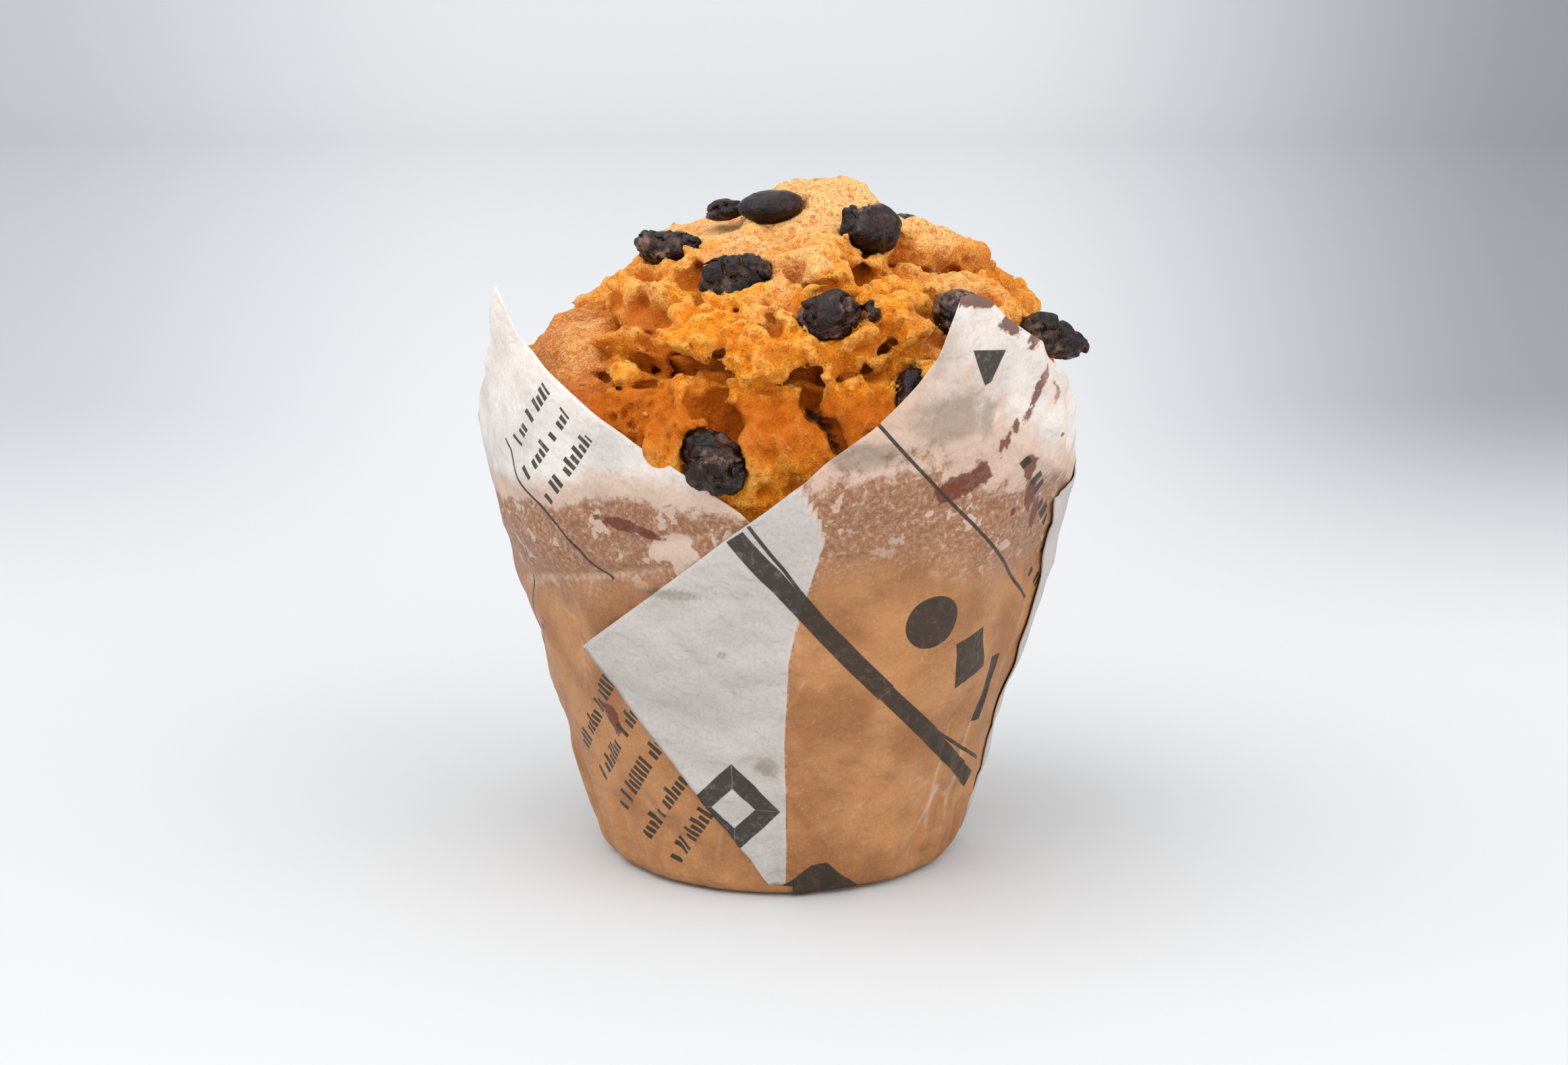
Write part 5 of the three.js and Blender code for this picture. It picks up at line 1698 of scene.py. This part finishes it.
def scatter_tree():
    """Points on the faces above a height, a grain on each, made real and given a material."""
    tree = bpy.data.node_groups.new("Scatter crumbs", "GeometryNodeTree")
    for name, kind in (("Geometry", "NodeSocketGeometry"), ("Density", "NodeSocketFloat"),
                       ("Lowest", "NodeSocketFloat"), ("Seed", "NodeSocketInt"),
                       ("Grain", "NodeSocketObject"), ("Material", "NodeSocketMaterial")):
        tree.interface.new_socket(name, in_out="INPUT", socket_type=kind)
    tree.interface.new_socket("Geometry", in_out="OUTPUT", socket_type="NodeSocketGeometry")
    kinds = ("NodeGroupInput", "NodeGroupOutput", "GeometryNodeDistributePointsOnFaces",
             "GeometryNodeObjectInfo", "GeometryNodeInstanceOnPoints", "FunctionNodeRandomValue",
             "FunctionNodeRandomValue", "GeometryNodeRealizeInstances", "GeometryNodeSetMaterial",
             "GeometryNodeInputPosition", "ShaderNodeSeparateXYZ", "FunctionNodeCompare")
    nodes = [tree.nodes.new(kind) for kind in kinds]
    given, taken, scatter, info, copies, turn, size, real, finish, place, axes, above = nodes
    turn.data_type = "FLOAT_VECTOR"
    turn.inputs["Max"].default_value = FULL_TURNS
    size.inputs[2].default_value, size.inputs[3].default_value = GRAIN_SCALES
    for source, sink in (
        (place.outputs[0], axes.inputs[0]),
        (axes.outputs["Z"], above.inputs["A"]),
        (given.outputs["Lowest"], above.inputs["B"]),
        (given.outputs["Geometry"], scatter.inputs["Mesh"]),
        (above.outputs[0], scatter.inputs["Selection"]),
        (given.outputs["Density"], scatter.inputs["Density"]),
        (given.outputs["Seed"], scatter.inputs["Seed"]),
        (given.outputs["Grain"], info.inputs["Object"]),
        (scatter.outputs["Points"], copies.inputs["Points"]),
        (info.outputs["Geometry"], copies.inputs["Instance"]),
        (turn.outputs[0], copies.inputs["Rotation"]),
        (size.outputs[1], copies.inputs["Scale"]),
        (copies.outputs[0], real.inputs[0]),
        (real.outputs[0], finish.inputs["Geometry"]),
        (given.outputs["Material"], finish.inputs["Material"]),
        (finish.outputs[0], taken.inputs[0]),
    ):
        tree.links.new(source, sink)
    return tree

# %% Scatter the crumbs


def scatter_crumbs(ground):
    """The grains that lie on a mesh, as one mesh of their own."""
    piece = bpy.data.objects.new("loose_crumbs", ground.data.copy())
    bpy.context.scene.collection.objects.link(piece)
    grain = grain_source()
    modifier = piece.modifiers.new("scatter", "NODES")
    modifier.node_group = scatter_tree()
    values = {"Density": CRUMB_COUNT_PER_SQUARE_METRE, "Lowest": LOWEST_CRUMB * MILLIMETRE,
              "Seed": CRUMB_SEED, "Grain": grain, "Material": crumb_material}
    for item in modifier.node_group.interface.items_tree:
        if item.in_out == "INPUT" and item.name in values:
            modifier[item.identifier] = values[item.name]
    apply_modifiers(piece)
    bpy.data.objects.remove(grain)
    for name in CRUMB_MASKS:
        if name in piece.data.attributes:
            piece.data.attributes.remove(piece.data.attributes[name])
        paint(piece, name, np.full(len(piece.data.vertices), 0.5 if name == "torn" else 0.0))
    piece.data.shade_smooth()
    return piece


loose_crumbs = scatter_crumbs(crumb)
print("loose crumbs:", triangles(loose_crumbs), "triangles")

# %% [markdown]
# Each finished piece stands for a node of the solid model, which is then hidden, and rides on the one
# body. The loose crumbs stand for no node: they only lie on the crumb.

# %% Give every piece its material and its body, and hide the nodes that they stand for
for piece, material, slot in (
    (crumb, crumb_material, "crumb"),
    (paper, paper_material, "paper"),
    (loose_crumbs, crumb_material, "crumb"),
):
    piece.data.materials.clear()
    piece.data.materials.append(material)
    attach(piece, "root")
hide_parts("crumb")
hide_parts("paper_case")
for number, chip in chips.items():
    chip.data.materials.append(chocolate_material)
    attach(chip, "root")
    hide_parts(f"chip_{number:02d}")
print("dressed pieces:", len(chips) + 3)

# %% [markdown]
# The stage is a pale sweep that curves up far behind, so that there is no horizon. Far behind, its card is
# painted with shade that darkens it softly to the right and to the left.

# %% The sweep of pale card
SWEEP_FRONT, SWEEP_BACK, SWEEP_BEND, SWEEP_TOP, SWEEP_HALF = -3.0, 1.5, 0.6, 2.6, 4.0
CARD_FAN = 0.38
CARD_NEAR, CARD_FAR = (0.575, 0.58, 0.585, 1), (0.595, 0.60, 0.61, 1)
CARD_RIGHT_SHADE, CARD_LEFT_SHADE = (0.245, 0.255, 0.275, 1), (0.42, 0.435, 0.45, 1)


def card_material():
    """Pale card with painted shade that darkens it to both sides far behind."""
    material, desk, shader = new_material("pale_card")
    place = desk.node("ShaderNodeTexCoord", "Object")
    across, depth = [desk.node("ShaderNodeSeparateXYZ", axis, Vector=place) for axis in (0, 1)]
    sideways = desk.math("DIVIDE", across, desk.math("ADD", depth, CARD_FAN))
    behind = desk.ramp(depth, 0.08, 0.42)
    # Painted shade: the card far behind is darkened towards both sides.
    shade_to_right = desk.math("MULTIPLY", desk.ramp(sideways, 0.06, 0.3), behind)
    shade_to_left = desk.math("MULTIPLY", desk.ramp(sideways, -0.1, -0.31), behind)
    card = desk.mix(shade_to_right, desk.mix(behind, CARD_NEAR, CARD_FAR), CARD_RIGHT_SHADE)
    desk.give(shader, "Base Color", desk.mix(shade_to_left, card, CARD_LEFT_SHADE))
    desk.give(shader, "Roughness", 0.9)
    return material


def build_sweep():
    """A floor that bends up into a wall behind."""
    bend = np.linspace(0, math.pi / 2, 13)
    depth = [SWEEP_FRONT, *(SWEEP_BACK + SWEEP_BEND * np.sin(bend)), SWEEP_BACK + SWEEP_BEND]
    rise = [0.0, *(SWEEP_BEND * (1 - np.cos(bend))), SWEEP_TOP]
    vertices = [(side * SWEEP_HALF, y, z) for y, z in zip(depth, rise) for side in (-1, 1)]
    rows = np.arange(len(depth) - 1) * 2
    faces = np.stack([rows, rows + 1, rows + 3, rows + 2], -1)
    sweep = new_mesh("sweep", np.array(vertices) / MILLIMETRE, faces)
    sweep.data.materials.append(card_material())


build_sweep()

# %% [markdown]
# One large soft light stands at the upper left, a weaker one fills the right, a third one lights the
# wall, and a bright sky softens the shadows.

# %% Lights: name, place, what it looks at, width and power
LIGHTS = [
    ("key", (-0.5, -0.3, 0.95), (0, 0, 0.06), 1.2, 5.8),
    ("fill", (0.55, -0.45, 0.5), (0, 0, 0.07), 0.8, 2.4),
    ("wall", (0.0, 0.7, 1.6), (-0.1, 2.1, 0.9), 0.8, 7.0),
]
SKY_COLOUR, SKY_STRENGTH = (0.97, 0.985, 1.0, 1), 1.27

for name, place, aim, size, power in LIGHTS:
    lamp = bpy.data.lights.new(name, "AREA")
    lamp.shape, lamp.size, lamp.energy = "DISK", size, power
    piece = bpy.data.objects.new(name, lamp)
    bpy.context.scene.collection.objects.link(piece)
    piece.location = place
    ahead = np.array(aim) - np.array(place)
    level = math.hypot(ahead[0], ahead[1])
    piece.rotation_euler = (math.atan2(level, -ahead[2]), 0, math.atan2(-ahead[0], ahead[1]))

world = bpy.data.worlds.new("studio")
bpy.context.scene.world = world
world.use_nodes = True
sky = world.node_tree.nodes["Background"]
sky.inputs["Color"].default_value = SKY_COLOUR
sky.inputs["Strength"].default_value = SKY_STRENGTH
print("lights:", len(LIGHTS), "and the sky")

# %% [markdown]
# The camera looks slightly down from the front, and its lens and place give the muffin the size that
# it has in the photograph.

# %% The camera, at the photograph's viewing angle
CAMERA_PLACE = (0.0005, -0.380, 0.130)
CAMERA_LENS, SENSOR_WIDTH = 61.22, 36.0
CAMERA_LOOKS_DOWN = 12.346
CAMERA_NEAR, CAMERA_FAR = 0.01, 20

camera_data = bpy.data.cameras.new("camera")
camera_data.lens, camera_data.sensor_width = CAMERA_LENS, SENSOR_WIDTH
camera_data.clip_start, camera_data.clip_end = CAMERA_NEAR, CAMERA_FAR
camera = bpy.data.objects.new("camera", camera_data)
bpy.context.scene.collection.objects.link(camera)
camera.location = CAMERA_PLACE
camera.rotation_euler = (math.radians(90 - CAMERA_LOOKS_DOWN), 0, 0)
bpy.context.scene.camera = camera
bpy.context.scene.view_settings.view_transform = "Standard"
print("camera at", CAMERA_PLACE)
